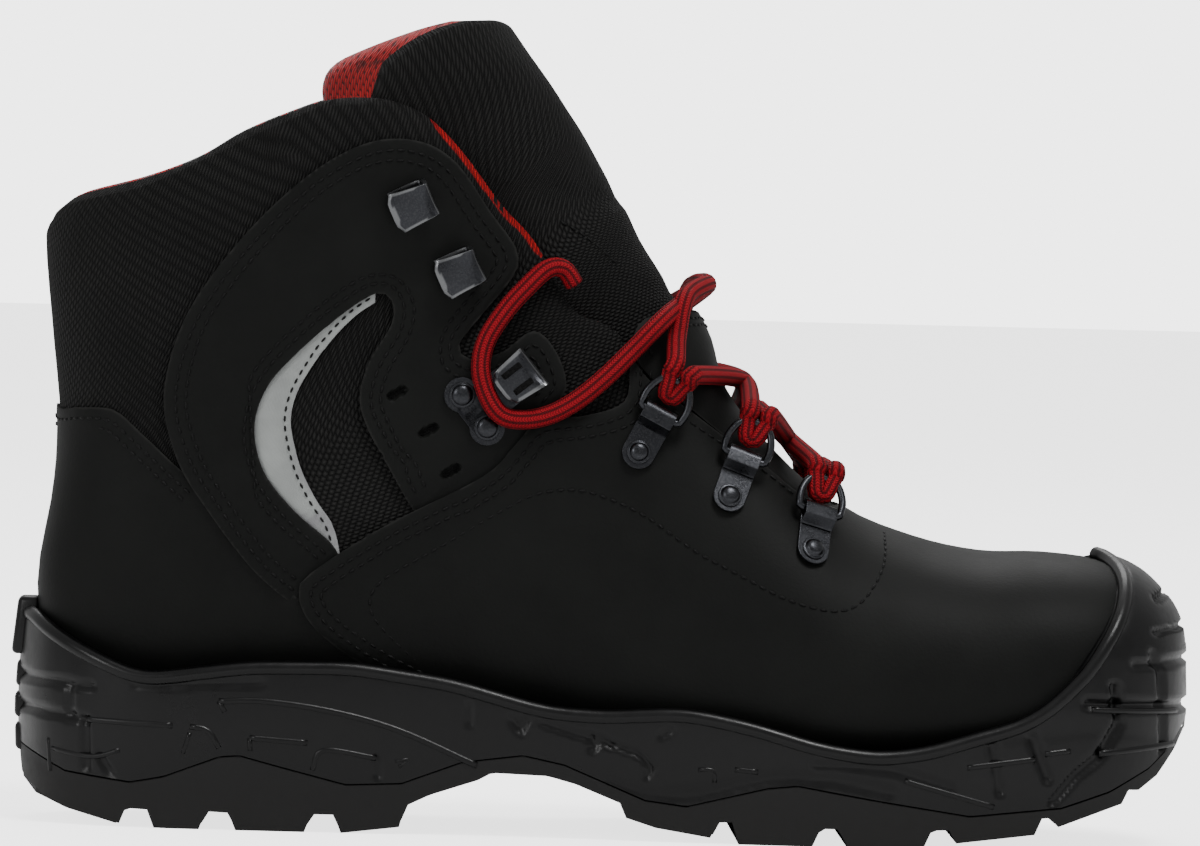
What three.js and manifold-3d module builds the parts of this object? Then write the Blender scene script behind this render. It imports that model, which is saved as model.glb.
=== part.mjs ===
// Safety shoe, left foot, ankle height, laced, standing on its sole.
// Millimetres, +Z up, +X to the toe, +Y to the little toe side.

import * as THREE from "three";
import { mergeVertices } from "three/addons/utils/BufferGeometryUtils.js";
import Module from "manifold-3d";

const wasm = await Module();
wasm.setup();

// Driving sizes
const length = 305;
const height = 213;
const ballWidth = 100;
const heelHeight = 32;
const ballHeight = 23;
const toeSpring = 9;
const seatDepth = 4;
// Moves the last across, so that the sole's box is centred on the part's origin.
const sideShift = -0.0237;
const gap = 0.3;

// Thicknesses
const wall = 2.2;
const collarPad = 5.2;
const overlay = 1.2;
const insoleThickness = 4;
const tongueLeather = 3.2;
const tonguePad = 4;
const toeRubber = 4.3;
const toeTopRubber = 3.3;
const beadRise = 1.1;

// Sections of the last, from the toe to above the collar.
// top and low are the ends of a section in the side view. mid, half and ridge are across the foot.
// widest is where the section is widest. foot and crown are the squareness under and over it.
const sectionColumns = [
  "name", "topX", "topZ", "lowX", "lowZ", "mid", "half", "widest", "foot", "crown", "ridge",
];
const sections = [
  ["toe tip", 0.485, 0.242, 0.485, 0.183, -0.08, 0.035, 0.45, 2.3, 2.3, 0],
  ["toe end", 0.481, 0.271, 0.482, 0.156, -0.078, 0.135, 0.44, 2.5, 2.4, 0],
  ["toe bend", 0.472, 0.296, 0.472, 0.134, -0.07, 0.235, 0.42, 2.7, 2.4, 0],
  ["toe side", 0.452, 0.325, 0.452, 0.119, -0.055, 0.325, 0.4, 3, 2.5, 0],
  ["toe box", 0.421, 0.341, 0.421, 0.114, -0.034, 0.4, 0.38, 3.2, 2.5, -0.01],
  ["cap edge", 0.375, 0.348, 0.375, 0.104, -0.01, 0.45, 0.36, 3.2, 2.4, -0.02],
  ["vamp", 0.321, 0.348, 0.321, 0.096, 0.01, 0.48, 0.34, 3.2, 2.3, -0.03],
  ["ball front", 0.262, 0.365, 0.262, 0.091, 0.022, 0.496, 0.32, 3.2, 2.2, -0.035],
  ["ball", 0.203, 0.4, 0.203, 0.089, 0.027, 0.5, 0.3, 3.2, 2.1, -0.04],
  ["throat", 0.141, 0.477, 0.148, 0.089, 0.026, 0.484, 0.3, 3.2, 2.1, -0.04],
  ["instep", 0.103, 0.545, 0.072, 0.091, 0.022, 0.448, 0.32, 3.2, 2.15, -0.03],
  ["arch", 0.088, 0.611, -0.026, 0.106, 0.016, 0.41, 0.36, 3.2, 2.3, -0.02],
  ["waist", 0.061, 0.681, -0.144, 0.125, 0.01, 0.386, 0.42, 3.1, 2.4, -0.01],
  ["heel seat", 0.039, 0.73, -0.275, 0.131, 0.005, 0.37, 0.48, 3, 2.5, 0],
  ["heel", 0.025, 0.77, -0.387, 0.131, 0, 0.363, 0.5, 3, 2.6, 0],
  ["heel bend", 0.011, 0.8, -0.458, 0.17, 0, 0.36, 0.5, 3, 2.6, 0],
  ["heel back", -0.002, 0.831, -0.478, 0.282, 0, 0.363, 0.5, 2.9, 2.6, 0],
  ["counter top", -0.016, 0.864, -0.467, 0.404, 0, 0.38, 0.5, 2.8, 2.6, 0],
  ["ankle", -0.034, 0.901, -0.465, 0.488, 0, 0.405, 0.5, 2.7, 2.6, 0],
  ["collar low", -0.056, 0.944, -0.473, 0.596, 0, 0.42, 0.5, 2.6, 2.5, 0],
  ["collar", -0.077, 0.988, -0.48, 0.7, 0, 0.43, 0.5, 2.6, 2.5, 0],
  ["collar top", -0.102, 1.038, -0.482, 0.798, 0, 0.43, 0.5, 2.6, 2.5, 0],
  ["above", -0.131, 1.099, -0.475, 0.901, 0, 0.425, 0.5, 2.6, 2.5, 0],
].map((row) => Object.fromEntries(sectionColumns.map((name, i) => [name, row[i]])));

// Where along the sections the facets run, closer at the toe and round the heel.
const stations = [
  0, 0.5, 1, 1.5, 2, 2.5, 3, 3.5, 4, 5, 6, 7, 8, 9, 10, 11, 12, 13, 14, 14.5, 15, 15.5, 16,
  17, 18, 19, 20, 21, 22,
];
const around = 20;

// Outline of the sole from above: along from heel to toe, inner and outer edge in ball widths.
const soleOutline = [
  { along: -0.4945, inner: 0, outer: 0 },
  { along: -0.486, inner: -0.135, outer: 0.135 },
  { along: -0.464, inner: -0.258, outer: 0.258 },
  { along: -0.423, inner: -0.345, outer: 0.345 },
  { along: -0.36, inner: -0.39, outer: 0.395 },
  { along: -0.262, inner: -0.41, outer: 0.425 },
  { along: -0.148, inner: -0.42, outer: 0.45 },
  { along: -0.033, inner: -0.445, outer: 0.495 },
  { along: 0.082, inner: -0.49, outer: 0.545 },
  { along: 0.197, inner: -0.525, outer: 0.575 },
  { along: 0.295, inner: -0.525, outer: 0.565 },
  { along: 0.367, inner: -0.508, outer: 0.517 },
  { along: 0.426, inner: -0.475, outer: 0.42 },
  { along: 0.4655, inner: -0.388, outer: 0.29 },
  { along: 0.4885, inner: -0.27, outer: 0.12 },
  { along: 0.499, inner: -0.08, outer: -0.08 },
];

// How far the side of the sole leans in or out at each height, and at the toe.
const soleSide = [
  { up: -0.01, lean: -0.032, toe: -0.032 },
  { up: 0.03, lean: -0.022, toe: -0.022 },
  { up: 0.07, lean: -0.009, toe: -0.009 },
  { up: 0.12, lean: -0.001, toe: -0.001 },
  { up: 0.17, lean: 0, toe: 0 },
  { up: 0.22, lean: -0.005, toe: -0.018 },
  { up: 0.255, lean: -0.013, toe: -0.06 },
  { up: 0.3, lean: -0.035, toe: -0.13 },
];
const toeBlend = [0.31, 0.43];

// Side view lines: along in shoe lengths, up in shoe heights.
const rimLine = [
  [0.408, 0.362], [0.425, 0.346], [0.437, 0.327], [0.438, 0.305], [0.431, 0.275], [0.416, 0.238],
  [0.399, 0.2], [0.377, 0.168], [0.351, 0.147], [0.315, 0.133], [0.275, 0.114], [0.233, 0.106],
  [0.184, 0.115], [0.125, 0.139], [0.069, 0.154], [0, 0.147], [-0.049, 0.151], [-0.127, 0.181],
  [-0.213, 0.198], [-0.298, 0.196], [-0.367, 0.182], [-0.39, 0.177], [-0.413, 0.19],
  [-0.452, 0.215], [-0.479, 0.238], [-0.5, 0.265],
];
const seamLine = [
  [-0.511, 0.108], [-0.489, 0.09], [-0.454, 0.065], [-0.398, 0.055], [-0.369, 0.063],
  [-0.322, 0.089], [-0.305, 0.091], [-0.275, 0.08], [-0.215, 0.059], [-0.168, 0.062],
  [-0.117, 0.09], [-0.066, 0.1], [-0.031, 0.09], [0.037, 0.05], [0.072, 0.044], [0.14, 0.069],
  [0.165, 0.073], [0.234, 0.057], [0.311, 0.041], [0.388, 0.053], [0.43, 0.074], [0.464, 0.102],
  [0.485, 0.132], [0.511, 0.19],
];
const treadLine = [
  [-0.515, 0.08], [-0.498, 0.061], [-0.478, 0.034], [-0.452, 0.02], [-0.408, 0.004],
  [-0.402, 0.023], [-0.382, 0.022], [-0.376, 0], [-0.338, 0], [-0.332, 0.022], [-0.313, 0.021],
  [-0.307, 0], [-0.249, 0], [-0.243, 0.022], [-0.224, 0.022], [-0.218, 0], [-0.169, 0.009],
  [-0.164, 0.035], [-0.144, 0.049], [-0.103, 0.069], [-0.092, 0.078], [-0.045, 0.076],
  [-0.021, 0.067], [0.018, 0.045], [0.022, 0.028], [0.047, 0.017], [0.093, 0.007], [0.099, 0.026],
  [0.111, 0.027], [0.117, 0], [0.178, 0], [0.185, 0.022], [0.201, 0.022], [0.208, 0], [0.272, 0],
  [0.279, 0.023], [0.294, 0.024], [0.3, 0.008], [0.366, 0.02], [0.372, 0.04], [0.379, 0.041],
  [0.386, 0.03], [0.44, 0.059], [0.446, 0.076], [0.455, 0.075], [0.471, 0.092], [0.486, 0.122],
  [0.496, 0.146],
];
const collarLine = [
  [-0.525, 0.728], [-0.479, 0.729], [-0.474, 0.749], [-0.457, 0.763], [-0.403, 0.783],
  [-0.355, 0.809], [-0.315, 0.843], [-0.274, 0.869], [-0.242, 0.885], [-0.21, 0.889],
  [-0.182, 0.884], [-0.153, 0.865], [-0.125, 0.825], [-0.093, 0.765], [-0.064, 0.721],
  [-0.038, 0.656], [-0.025, 0.635], [-0.007, 0.627], [0.01, 0.61], [0.02, 0.575], [0.033, 0.553],
  [0.065, 0.521], [0.094, 0.49], [0.133, 0.451], [0.162, 0.419], [0.187, 0.405], [0.216, 0.401],
  [0.249, 0.423],
];
const vampLine = [
  [-0.259, 0.188], [-0.259, 0.272], [-0.249, 0.313], [-0.19, 0.37], [-0.106, 0.434],
  [-0.08, 0.471], [-0.06, 0.501], [-0.018, 0.511], [0.012, 0.528], [0.016, 0.57],
];
const tongueLine = [
  [0.295, 0.35], [0.23, 0.352], [0.164, 0.394], [0.1, 0.451], [0.033, 0.51], [-0.033, 0.585],
  [-0.098, 0.67], [-0.151, 0.751], [-0.19, 0.822], [-0.216, 0.873], [-0.21, 0.925],
  [-0.187, 0.953], [-0.151, 0.981], [-0.118, 0.999], [-0.092, 1],
];

const counterLine = [
  [-0.53, 0.504], [-0.449, 0.505], [-0.418, 0.504], [-0.395, 0.478], [-0.366, 0.434],
  [-0.332, 0.375], [-0.299, 0.308], [-0.2605, 0.25],
];
const ankleLine = [
  [-0.3, 0.32], [-0.335, 0.383], [-0.362, 0.444], [-0.375, 0.521], [-0.363, 0.603],
  [-0.338, 0.669], [-0.297, 0.743], [-0.25, 0.804], [-0.205, 0.837], [-0.165, 0.837],
  [-0.135, 0.812], [-0.107, 0.757], [-0.083, 0.71], [-0.084, 0.678], [-0.11, 0.629],
  [-0.128, 0.593], [-0.119, 0.576], [-0.093, 0.584], [-0.066, 0.611], [-0.046, 0.585],
  [-0.037, 0.543], [-0.051, 0.515],
];
const windowLine = [
  [-0.21, 0.33], [-0.225, 0.348], [-0.264, 0.388], [-0.29, 0.434], [-0.299, 0.488],
  [-0.289, 0.538], [-0.262, 0.584], [-0.226, 0.63], [-0.2, 0.654], [-0.187, 0.646],
  [-0.186, 0.617], [-0.204, 0.57], [-0.211, 0.526], [-0.203, 0.488], [-0.186, 0.446],
  [-0.169, 0.404],
];
const crescentLine = [
  [-0.2, 0.642], [-0.216, 0.626], [-0.235, 0.597], [-0.251, 0.565], [-0.264, 0.53],
  [-0.2685, 0.498], [-0.265, 0.468], [-0.258, 0.436], [-0.245, 0.401], [-0.232, 0.375],
  [-0.218, 0.36],
];
const flapLine = [
  [0.24, 0.42], [0.187, 0.409], [0.163, 0.424], [0.135, 0.456], [0.097, 0.494], [0.068, 0.525],
  [0.037, 0.557], [0.024, 0.58], [0.02, 0.606], [0.03, 0.63], [0.06, 0.64], [0.08, 0.637],
];

// Hardware: where each sits in the side view, its tilt off upright in degrees, and which kind.
const ringPlates = [
  { name: "1", along: 0.025, up: 0.467, tilt: 27.5 },
  { name: "2", along: 0.102, up: 0.4145, tilt: 20 },
  { name: "3", along: 0.172, up: 0.351, tilt: 16.5 },
];
const openHooks = [
  { name: "upper", along: -0.175, up: 0.762, tilt: 65 },
  { name: "lower", along: -0.134, up: 0.681, tilt: 65 },
];
const lockingHook = { along: -0.114, up: 0.513, tilt: 51 };

// Lace: width, and the way of each loose end round its locking hook, from the far top ring.
// side is 1 on the locking hook's own side, and lift is how far the lace's middle stands off.
// over lifts the inner end where it passes over the outer one, and slip moves the outer end down.
const laceWidth = 5;
const laceWay = [
  { along: 0.05, up: 0.602, side: -1, lift: 4.4, over: 5, slip: 2 },
  { along: 0.054, up: 0.646, side: -1, lift: 4.6, over: 4, slip: 6 },
  { along: 0.041, up: 0.625, side: 1, lift: 4.6, over: 0.5, slip: 4.5 },
  { along: 0.015, up: 0.584, side: 1, lift: 4.8, over: 0, slip: 1 },
  { along: -0.007, up: 0.552, side: 1, lift: 4.6, over: 0, slip: 0 },
  { along: -0.029, up: 0.526, side: 1, lift: 4.8, over: 0, slip: 0 },
  { along: -0.051, up: 0.509, side: 1, lift: 5.2, over: 0, slip: 0 },
  { along: -0.073, up: 0.503, side: 1, lift: 5.8, over: 0, slip: 0 },
  { along: -0.091, up: 0.508, side: 1, lift: 6.2, over: 0, slip: 0 },
  { along: -0.103, up: 0.529, side: 1, lift: 6.2, over: 0, slip: 0 },
  { along: -0.11, up: 0.562, side: 1, lift: 5.8, over: 0, slip: 0 },
  { along: -0.106, up: 0.596, side: 1, lift: 5.2, over: 0, slip: 0 },
  { along: -0.091, up: 0.632, side: 1, lift: 4.8, over: 0, slip: 0 },
  { along: -0.075, up: 0.659, side: 1, lift: 4.6, over: 0, slip: 0 },
  { along: -0.057, up: 0.683, side: 1, lift: 4, over: 0, slip: 0 },
  { along: -0.043, up: 0.684, side: 1, lift: 3, over: 0, slip: 0 },
  { along: -0.033, up: 0.668, side: 1, lift: 1.6, over: 0, slip: 0 },
];
const sides = [
  { name: "inner", sign: -1 },
  { name: "outer", sign: 1 },
];

const smooth = (value) => {
  const t = Math.min(Math.max(value, 0), 1);
  return t * t * (3 - 2 * t);
};
const mix = (a, b, t) => a + (b - a) * t;

// Catmull-Rom value between the rows of a table.
function between(rows, key, place) {
  const last = rows.length - 1;
  const i = Math.min(Math.max(Math.floor(place), 0), last - 1);
  const t = place - i;
  const at = (n) => rows[Math.min(Math.max(n, 0), last)][key];
  const [a, b, c, d] = [at(i - 1), at(i), at(i + 1), at(i + 2)];
  const bend = 2 * a - 5 * b + 4 * c - d;
  const turn = 3 * (b - c) + d - a;
  return b + 0.5 * t * (c - a + t * (bend + t * turn));
}

// Height of the footbed over the floor.
function seatAt(x) {
  const share = x / length;
  const rise = smooth((0.13 - share) / 0.33);
  const spring = Math.max(0, (share - 0.2) / 0.3) ** 2;
  return mix(ballHeight, heelHeight, rise) + toeSpring * spring;
}

const sectionCache = new Map();
function sectionAt(place) {
  if (!sectionCache.has(place)) {
    const row = {};
    for (const key of Object.keys(sections[0]))
      if (key !== "name") row[key] = between(sections, key, place);
    sectionCache.set(place, row);
  }
  return sectionCache.get(place);
}

// How far up its section, and how far across, a turn round it comes.
function shareAt(row, turn) {
  const c = Math.cos(turn);
  const s = Math.sin(turn);
  const under = c > 0;
  const power = 2 / (under ? row.foot : row.crown);
  const reach = Math.abs(c) ** power;
  const rise = under ? row.widest * (1 - reach) : row.widest + (1 - row.widest) * reach;
  return { rise, across: Math.sign(s) * Math.abs(s) ** power };
}

// A point of the last. A turn of 0 is under the foot or behind the heel, half a turn is on top.
function lastPoint(place, turn) {
  const row = sectionAt(place);
  const { rise, across } = shareAt(row, turn);
  return new THREE.Vector3(
    mix(row.lowX, row.topX, rise) * length,
    (row.mid + row.ridge * rise * rise + row.half * across + sideShift) * ballWidth,
    mix(row.lowZ, row.topZ, rise) * height,
  );
}

const lastStep = 0.02;
function lastNormal(place, turn) {
  const end = sections.length - 1;
  const a = lastPoint(Math.max(place - lastStep, 0), turn);
  const b = lastPoint(Math.min(place + lastStep, end), turn);
  const c = lastPoint(place, turn - lastStep);
  const d = lastPoint(place, turn + lastStep);
  return b.sub(a).cross(d.sub(c)).normalize();
}

// Thickness of the upper's wall, thicker where the collar is padded.
function wallAt(place, turn) {
  const row = sectionAt(place);
  const { rise } = shareAt(row, turn);
  const z = mix(row.lowZ, row.topZ, rise) * height;
  const high = smooth((z - 0.43 * height) / (0.16 * height));
  const back = 0.3 + 0.7 * smooth((0.93 - rise) / 0.2);
  return wall + collarPad * high * back;
}

const outward = (depth) => () => depth;
const inward = (extra) => (place, turn) => -(wallAt(place, turn) + extra);

// A closed solid from rings of points, each end closed by a fan.
function loft(rings) {
  const count = rings[0].length;
  const points = rings.flat();
  const faces = [];
  for (let i = 0; i + 1 < rings.length; i++)
    for (let j = 0; j < count; j++) {
      const a = i * count + j;
      const b = i * count + ((j + 1) % count);
      faces.push(a, b, b + count, a, b + count, a + count);
    }
  for (const [ring, flip] of [[0, true], [rings.length - 1, false]]) {
    const centre = new THREE.Vector3();
    for (const point of rings[ring]) centre.addScaledVector(point, 1 / count);
    points.push(centre);
    const middle = points.length - 1;
    for (let j = 0; j < count; j++) {
      const a = ring * count + j;
      const b = ring * count + ((j + 1) % count);
      if (flip) faces.push(middle, b, a);
      else faces.push(middle, a, b);
    }
  }
  return solidFrom(points, faces);
}

function solidFrom(points, faces) {
  const places = new Float32Array(points.flatMap((point) => [point.x, point.y, point.z]));
  let volume = 0;
  for (let i = 0; i < faces.length; i += 3) {
    const [a, b, c] = [points[faces[i]], points[faces[i + 1]], points[faces[i + 2]]];
    volume += a.x * (b.y * c.z - b.z * c.y) + a.y * (b.z * c.x - b.x * c.z);
    volume += a.z * (b.x * c.y - b.y * c.x);
  }
  if (volume < 0)
    for (let i = 0; i < faces.length; i += 3)
      [faces[i + 1], faces[i + 2]] = [faces[i + 2], faces[i + 1]];
  const mesh = new wasm.Mesh({
    numProp: 3,
    vertProperties: places,
    triVerts: new Uint32Array(faces),
  });
  return new wasm.Manifold(mesh);
}

function solidOf(geometry) {
  const bare = geometry.clone();
  bare.deleteAttribute("normal");
  bare.deleteAttribute("uv");
  const merged = mergeVertices(bare, 1e-3);
  const mesh = new wasm.Mesh({
    numProp: 3,
    vertProperties: merged.attributes.position.array,
    triVerts: new Uint32Array(merged.index.array),
  });
  return new wasm.Manifold(mesh);
}

// The last grown or shrunk by a depth.
function lastSolid(depth, places = stations) {
  const rings = places.map((place) => {
    const ring = [];
    for (let i = 0; i < around; i++) {
      const turn = ((i + 0.5) / around) * 2 * Math.PI;
      const normal = lastNormal(place, turn);
      ring.push(lastPoint(place, turn).addScaledVector(normal, depth(place, turn)));
    }
    return ring;
  });
  return loft(rings);
}

// A side view outline in shares, as millimetres.
const sized = (line) => line.map(([along, up]) => [along * length, up * height]);

// A smoothed run of points through an open line.
function curved(line, steps) {
  const spline = new THREE.SplineCurve(line.map(([x, z]) => new THREE.Vector2(x, z)));
  return spline.getPoints((line.length - 1) * steps).map((point) => [point.x, point.y]);
}

// A side view outline run across the shoe.
function across(outline, from = -ballWidth, to = ballWidth) {
  const shape = new THREE.Shape(outline.map(([x, z]) => new THREE.Vector2(x, z)));
  const geometry = new THREE.ExtrudeGeometry(shape, { depth: to - from, bevelEnabled: false });
  geometry.rotateX(Math.PI / 2);
  geometry.translate(0, to, 0);
  return solidOf(geometry);
}

// Height of an open side view line over a place along the shoe.
function lineAt(line, x) {
  const i = line.findIndex(([along]) => along > x);
  if (i < 1) return line[i < 0 ? line.length - 1 : 0][1];
  const [[x0, z0], [x1, z1]] = [line[i - 1], line[i]];
  return mix(z0, z1, (x - x0) / (x1 - x0));
}

// The sole's outline from above, grown by a spread, at one height.
const loopSteps = 44;
const soleCurve = (() => {
  const rows = soleOutline.map((row) => ({
    x: row.along * length,
    inner: (row.inner + sideShift) * ballWidth,
    outer: (row.outer + sideShift) * ballWidth,
  }));
  const loop = rows.map((row) => new THREE.Vector3(row.x, row.inner, 0));
  for (const row of rows.slice(1, -1).reverse()) loop.push(new THREE.Vector3(row.x, row.outer, 0));
  return new THREE.CatmullRomCurve3(loop, true, "centripetal");
})();
function soleLoop(spreadAt, z) {
  const ring = [];
  for (let i = 0; i < loopSteps; i++) {
    const tangent = soleCurve.getTangentAt(i / loopSteps);
    const point = soleCurve.getPointAt(i / loopSteps);
    const spread = spreadAt(point.x / length);
    ring.push(new THREE.Vector3(point.x + tangent.y * spread, point.y - tangent.x * spread, z));
  }
  return ring;
}

const soleWall = (grow) =>
  loft(
    soleSide.map((row) => {
      const spread = (along) => {
        const toeShare = smooth((along - toeBlend[0]) / (toeBlend[1] - toeBlend[0]));
        return mix(row.lean, row.toe, toeShare) * ballWidth + grow;
      };
      return soleLoop(spread, row.up * height);
    }),
  );

// Sole: the rubber midsole with its toe cap and heel cup, and the treaded outsole under it.
const rim = curved(sized(rimLine), 1);
const seam = curved(sized(seamLine), 1);
const far = 0.6 * length;
const tall = 1.3 * height;
const overToe = [far, 0.42 * height];
const aboveSeam = across([
  ...seam.map(([x, z]) => [x, z + gap / 2]),
  [far, seam.at(-1)[1]],
  [far, tall],
  [-far, tall],
  [-far, seam[0][1]],
]);
const belowRim = across([...rim, [-far, rim.at(-1)[1]], [-far, -50], [far, -50], overToe]);
const beadDrop = 0.02 * height;
const rimBead = across([
  ...rim,
  [-far, rim.at(-1)[1]],
  [-far, rim.at(-1)[1] - beadDrop],
  ...rim.map(([x, z], i) => {
    const [ax, az] = rim[Math.max(i - 1, 0)];
    const [bx, bz] = rim[Math.min(i + 1, rim.length - 1)];
    const run = Math.hypot(bx - ax, bz - az);
    return [x - ((bz - az) / run) * beadDrop, z + ((bx - ax) / run) * beadDrop];
  }).reverse(),
]);

const toeStations = stations.filter((place) => place <= 8);
const toeSolid = (grow) =>
  lastSolid((place, turn) => {
    const top = smooth((lastPoint(place, turn).z / height - 0.26) / 0.07);
    return mix(toeRubber, toeTopRubber, top) + grow;
  }, toeStations);
const soleOuter = (grow) => soleWall(grow).add(toeSolid(grow));
const soleCavity = lastSolid(outward(overlay + 2 * gap));
const heelRib = across(
  [
    [-0.5005 * length, 0.09 * height],
    [-0.5005 * length, 0.25 * height],
    [-0.496 * length, 0.275 * height],
    [-0.47 * length, 0.275 * height],
    [-0.47 * length, 0.09 * height],
  ],
  -0.06 * ballWidth,
  0.06 * ballWidth,
);
const midsole = soleOuter(0)
  .intersect(belowRim)
  .add(soleOuter(beadRise).intersect(rimBead))
  .add(heelRib)
  .intersect(aboveSeam)
  .subtract(soleCavity);

const treadProfile = sized(treadLine);
const outsoleBlock = across([
  ...treadProfile,
  ...seam
    .filter(([x]) => x < treadProfile.at(-1)[0])
    .map(([x, z]) => [x, z - gap / 2])
    .reverse(),
]);
// Lengthwise channels part the lugs of a row.
const channels = [
  { from: -0.44, to: -0.18, y: -0.17, swing: 0.03 },
  { from: -0.44, to: -0.18, y: 0.17, swing: -0.03 },
  { from: 0.04, to: 0.44, y: -0.2, swing: -0.05 },
  { from: 0.04, to: 0.44, y: 0.22, swing: 0.05 },
];
const grooveFloor = [
  [-0.5, 0.05], [-0.44, 0.036], [-0.4, 0.024], [-0.18, 0.024], [-0.1, 0.05], [0, 0.04], [0.04, 0.03],
  [0.1, 0.027], [0.28, 0.024], [0.32, 0.03], [0.38, 0.042], [0.44, 0.075], [0.48, 0.1],
];
const grooveWidth = 0.045 * ballWidth;
function channelSolid(row) {
  const rings = [];
  const steps = 6;
  for (let i = 0; i <= steps; i++) {
    const along = mix(row.from, row.to, i / steps);
    const swing = row.swing * Math.cos((i / steps) * 2 * Math.PI);
    const y = (row.y + sideShift + swing) * ballWidth;
    const x = along * length;
    const top = lineAt(grooveFloor, along) * height;
    const lip = grooveWidth * 0.75;
    rings.push([
      new THREE.Vector3(x, y - lip, -5),
      new THREE.Vector3(x, y + lip, -5),
      new THREE.Vector3(x, y + grooveWidth / 2, top),
      new THREE.Vector3(x, y - grooveWidth / 2, top),
    ]);
  }
  return loft(rings);
}
let outsole = soleWall(0).intersect(outsoleBlock);
for (const row of channels) outsole = outsole.subtract(channelSolid(row));

// Upper: one hollow wall with the vamp as a step in it, open at the collar, throat and underneath.
const beyond = [
  [0.4 * length, 0.5 * height],
  [0.4 * length, tall],
  [-far, tall],
];
const collarCut = across([...curved(sized(collarLine), 1), ...beyond]);
const vampOutline = (shift) => [
  [-0.259 * length - shift, -50],
  ...curved(sized(vampLine), 1).map(([x, z]) => [x - shift, z + shift]),
  [0.03 * length - shift, 0.7 * height],
  [far, 0.7 * height],
  [far, -50],
];
const lastingMargin = () => -0.17 * ballWidth;
const underHole = loft([soleLoop(lastingMargin, -5), soleLoop(lastingMargin, 0.17 * height)]);
const base = lastSolid(outward(0));
const hollow = lastSolid(inward(0));
const vampSkin = lastSolid(outward(overlay)).intersect(across(vampOutline(0)));
const upper = base.add(vampSkin).subtract(hollow).subtract(underHole).subtract(collarCut);

// Insole: a plate on the footbed, inside the wall.
const seatRows = [];
for (let i = 0; i <= 16; i++) {
  const x = mix(-0.5, 0.5, i / 16) * length;
  seatRows.push([x, seatAt(x) - seatDepth + wall + gap + insoleThickness]);
}
const insole = lastSolid(inward(gap)).intersect(
  across([...seatRows, [0.5 * length, -10], [-0.5 * length, -10]]),
);

// Tongue: padded, folded round the instep inside the collar.
const tongueThickness = (place, turn) => {
  const { rise } = shareAt(sectionAt(place), turn);
  const row = sectionAt(place);
  const z = mix(row.lowZ, row.topZ, rise) * height;
  return tongueLeather + tonguePad * smooth((z / height - 0.47) / 0.19);
};
const tongueOuter = lastSolid(inward(gap + 0.1));
const tongueInner = lastSolid(
  (place, turn) => -(wallAt(place, turn) + gap + 0.1 + tongueThickness(place, turn)),
);
const tongue = tongueOuter.subtract(tongueInner).intersect(
  across([...curved(sized(tongueLine), 1), [far, height], [far, 0.35 * height]]),
);

// Overlays: leather cut between two larger forms of the last.
const skin = lastSolid(outward(gap + overlay)).subtract(lastSolid(outward(gap)));
const thinSkin = lastSolid(outward(gap + 0.5 * overlay)).subtract(lastSolid(outward(gap)));
const vampRoom = across(vampOutline(1.5 * gap));
const counter = skin
  .intersect(
    across([
      ...curved(sized(counterLine), 1),
      [counterLine.at(-1)[0] * length, 0.16 * height],
      [-0.53 * length, 0.16 * height],
    ]),
  )
  .subtract(vampRoom);
const window = across(curved(sized(windowLine), 1));
const anklePrism = across([...curved(sized(ankleLine), 1), ...sized([[-0.1, 0.38], [-0.2, 0.25]])]);
const ankleBoth = skin.intersect(anklePrism).subtract(vampRoom).subtract(window);
const crescentOuter = sized(windowLine.slice(0, 9)).map(([x, z]) => [x + 0.5, z - 0.3]);
const crescentBoth = thinSkin
  .intersect(across([...crescentOuter, ...sized(crescentLine)]))
  .subtract(vampRoom);
const halfRoom = (sign) =>
  across(
    [
      [-far, -50],
      [far, -50],
      [far, tall],
      [-far, tall],
    ],
    sign < 0 ? -ballWidth : 0.02 * ballWidth,
    sign < 0 ? -0.02 * ballWidth : ballWidth,
  );

// Leather flap over the lower part of the tongue.
const flap = lastSolid(outward(-gap))
  .subtract(lastSolid(inward(0.1)))
  .intersect(across([...curved(sized(flapLine), 1), [0.3 * length, 0.637 * height]]));

// A tube along points, with flat ends or closed on itself.
function tube(points, width, closed = false, sides = 8, steps = points.length * 2) {
  const curve = new THREE.CatmullRomCurve3(points, closed, "centripetal");
  const shape = new THREE.Shape();
  for (let i = 0; i < sides; i++) {
    const turn = (i / sides) * 2 * Math.PI;
    shape[i ? "lineTo" : "moveTo"]((Math.cos(turn) * width) / 2, (Math.sin(turn) * width) / 2);
  }
  return solidOf(
    new THREE.ExtrudeGeometry(shape, { extrudePath: curve, steps, bevelEnabled: false }),
  );
}

// Where a side view place lies on the last: its section and its turn.
function findOn(x, z, sign) {
  let low = 0;
  let high = sections.length - 1;
  for (let i = 0; i < 40; i++) {
    const middle = (low + high) / 2;
    const row = sectionAt(middle);
    const dx = (row.topX - row.lowX) * length;
    const dz = (row.topZ - row.lowZ) * height;
    const off = dx * (z - row.lowZ * height) - dz * (x - row.lowX * length);
    if (off > 0) low = middle;
    else high = middle;
    sectionCache.delete(middle);
  }
  const row = sectionAt(low);
  const dx = (row.topX - row.lowX) * length;
  const dz = (row.topZ - row.lowZ) * height;
  const rise = ((x - row.lowX * length) * dx + (z - row.lowZ * height) * dz) / (dx * dx + dz * dz);
  const under = rise < row.widest;
  const reach = under ? 1 - rise / row.widest : (rise - row.widest) / (1 - row.widest);
  const c = Math.min(Math.max(reach, 0), 1) ** ((under ? row.foot : row.crown) / 2);
  const turn = Math.acos(under ? c : -c);
  return { place: low, turn: sign * turn };
}

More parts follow.
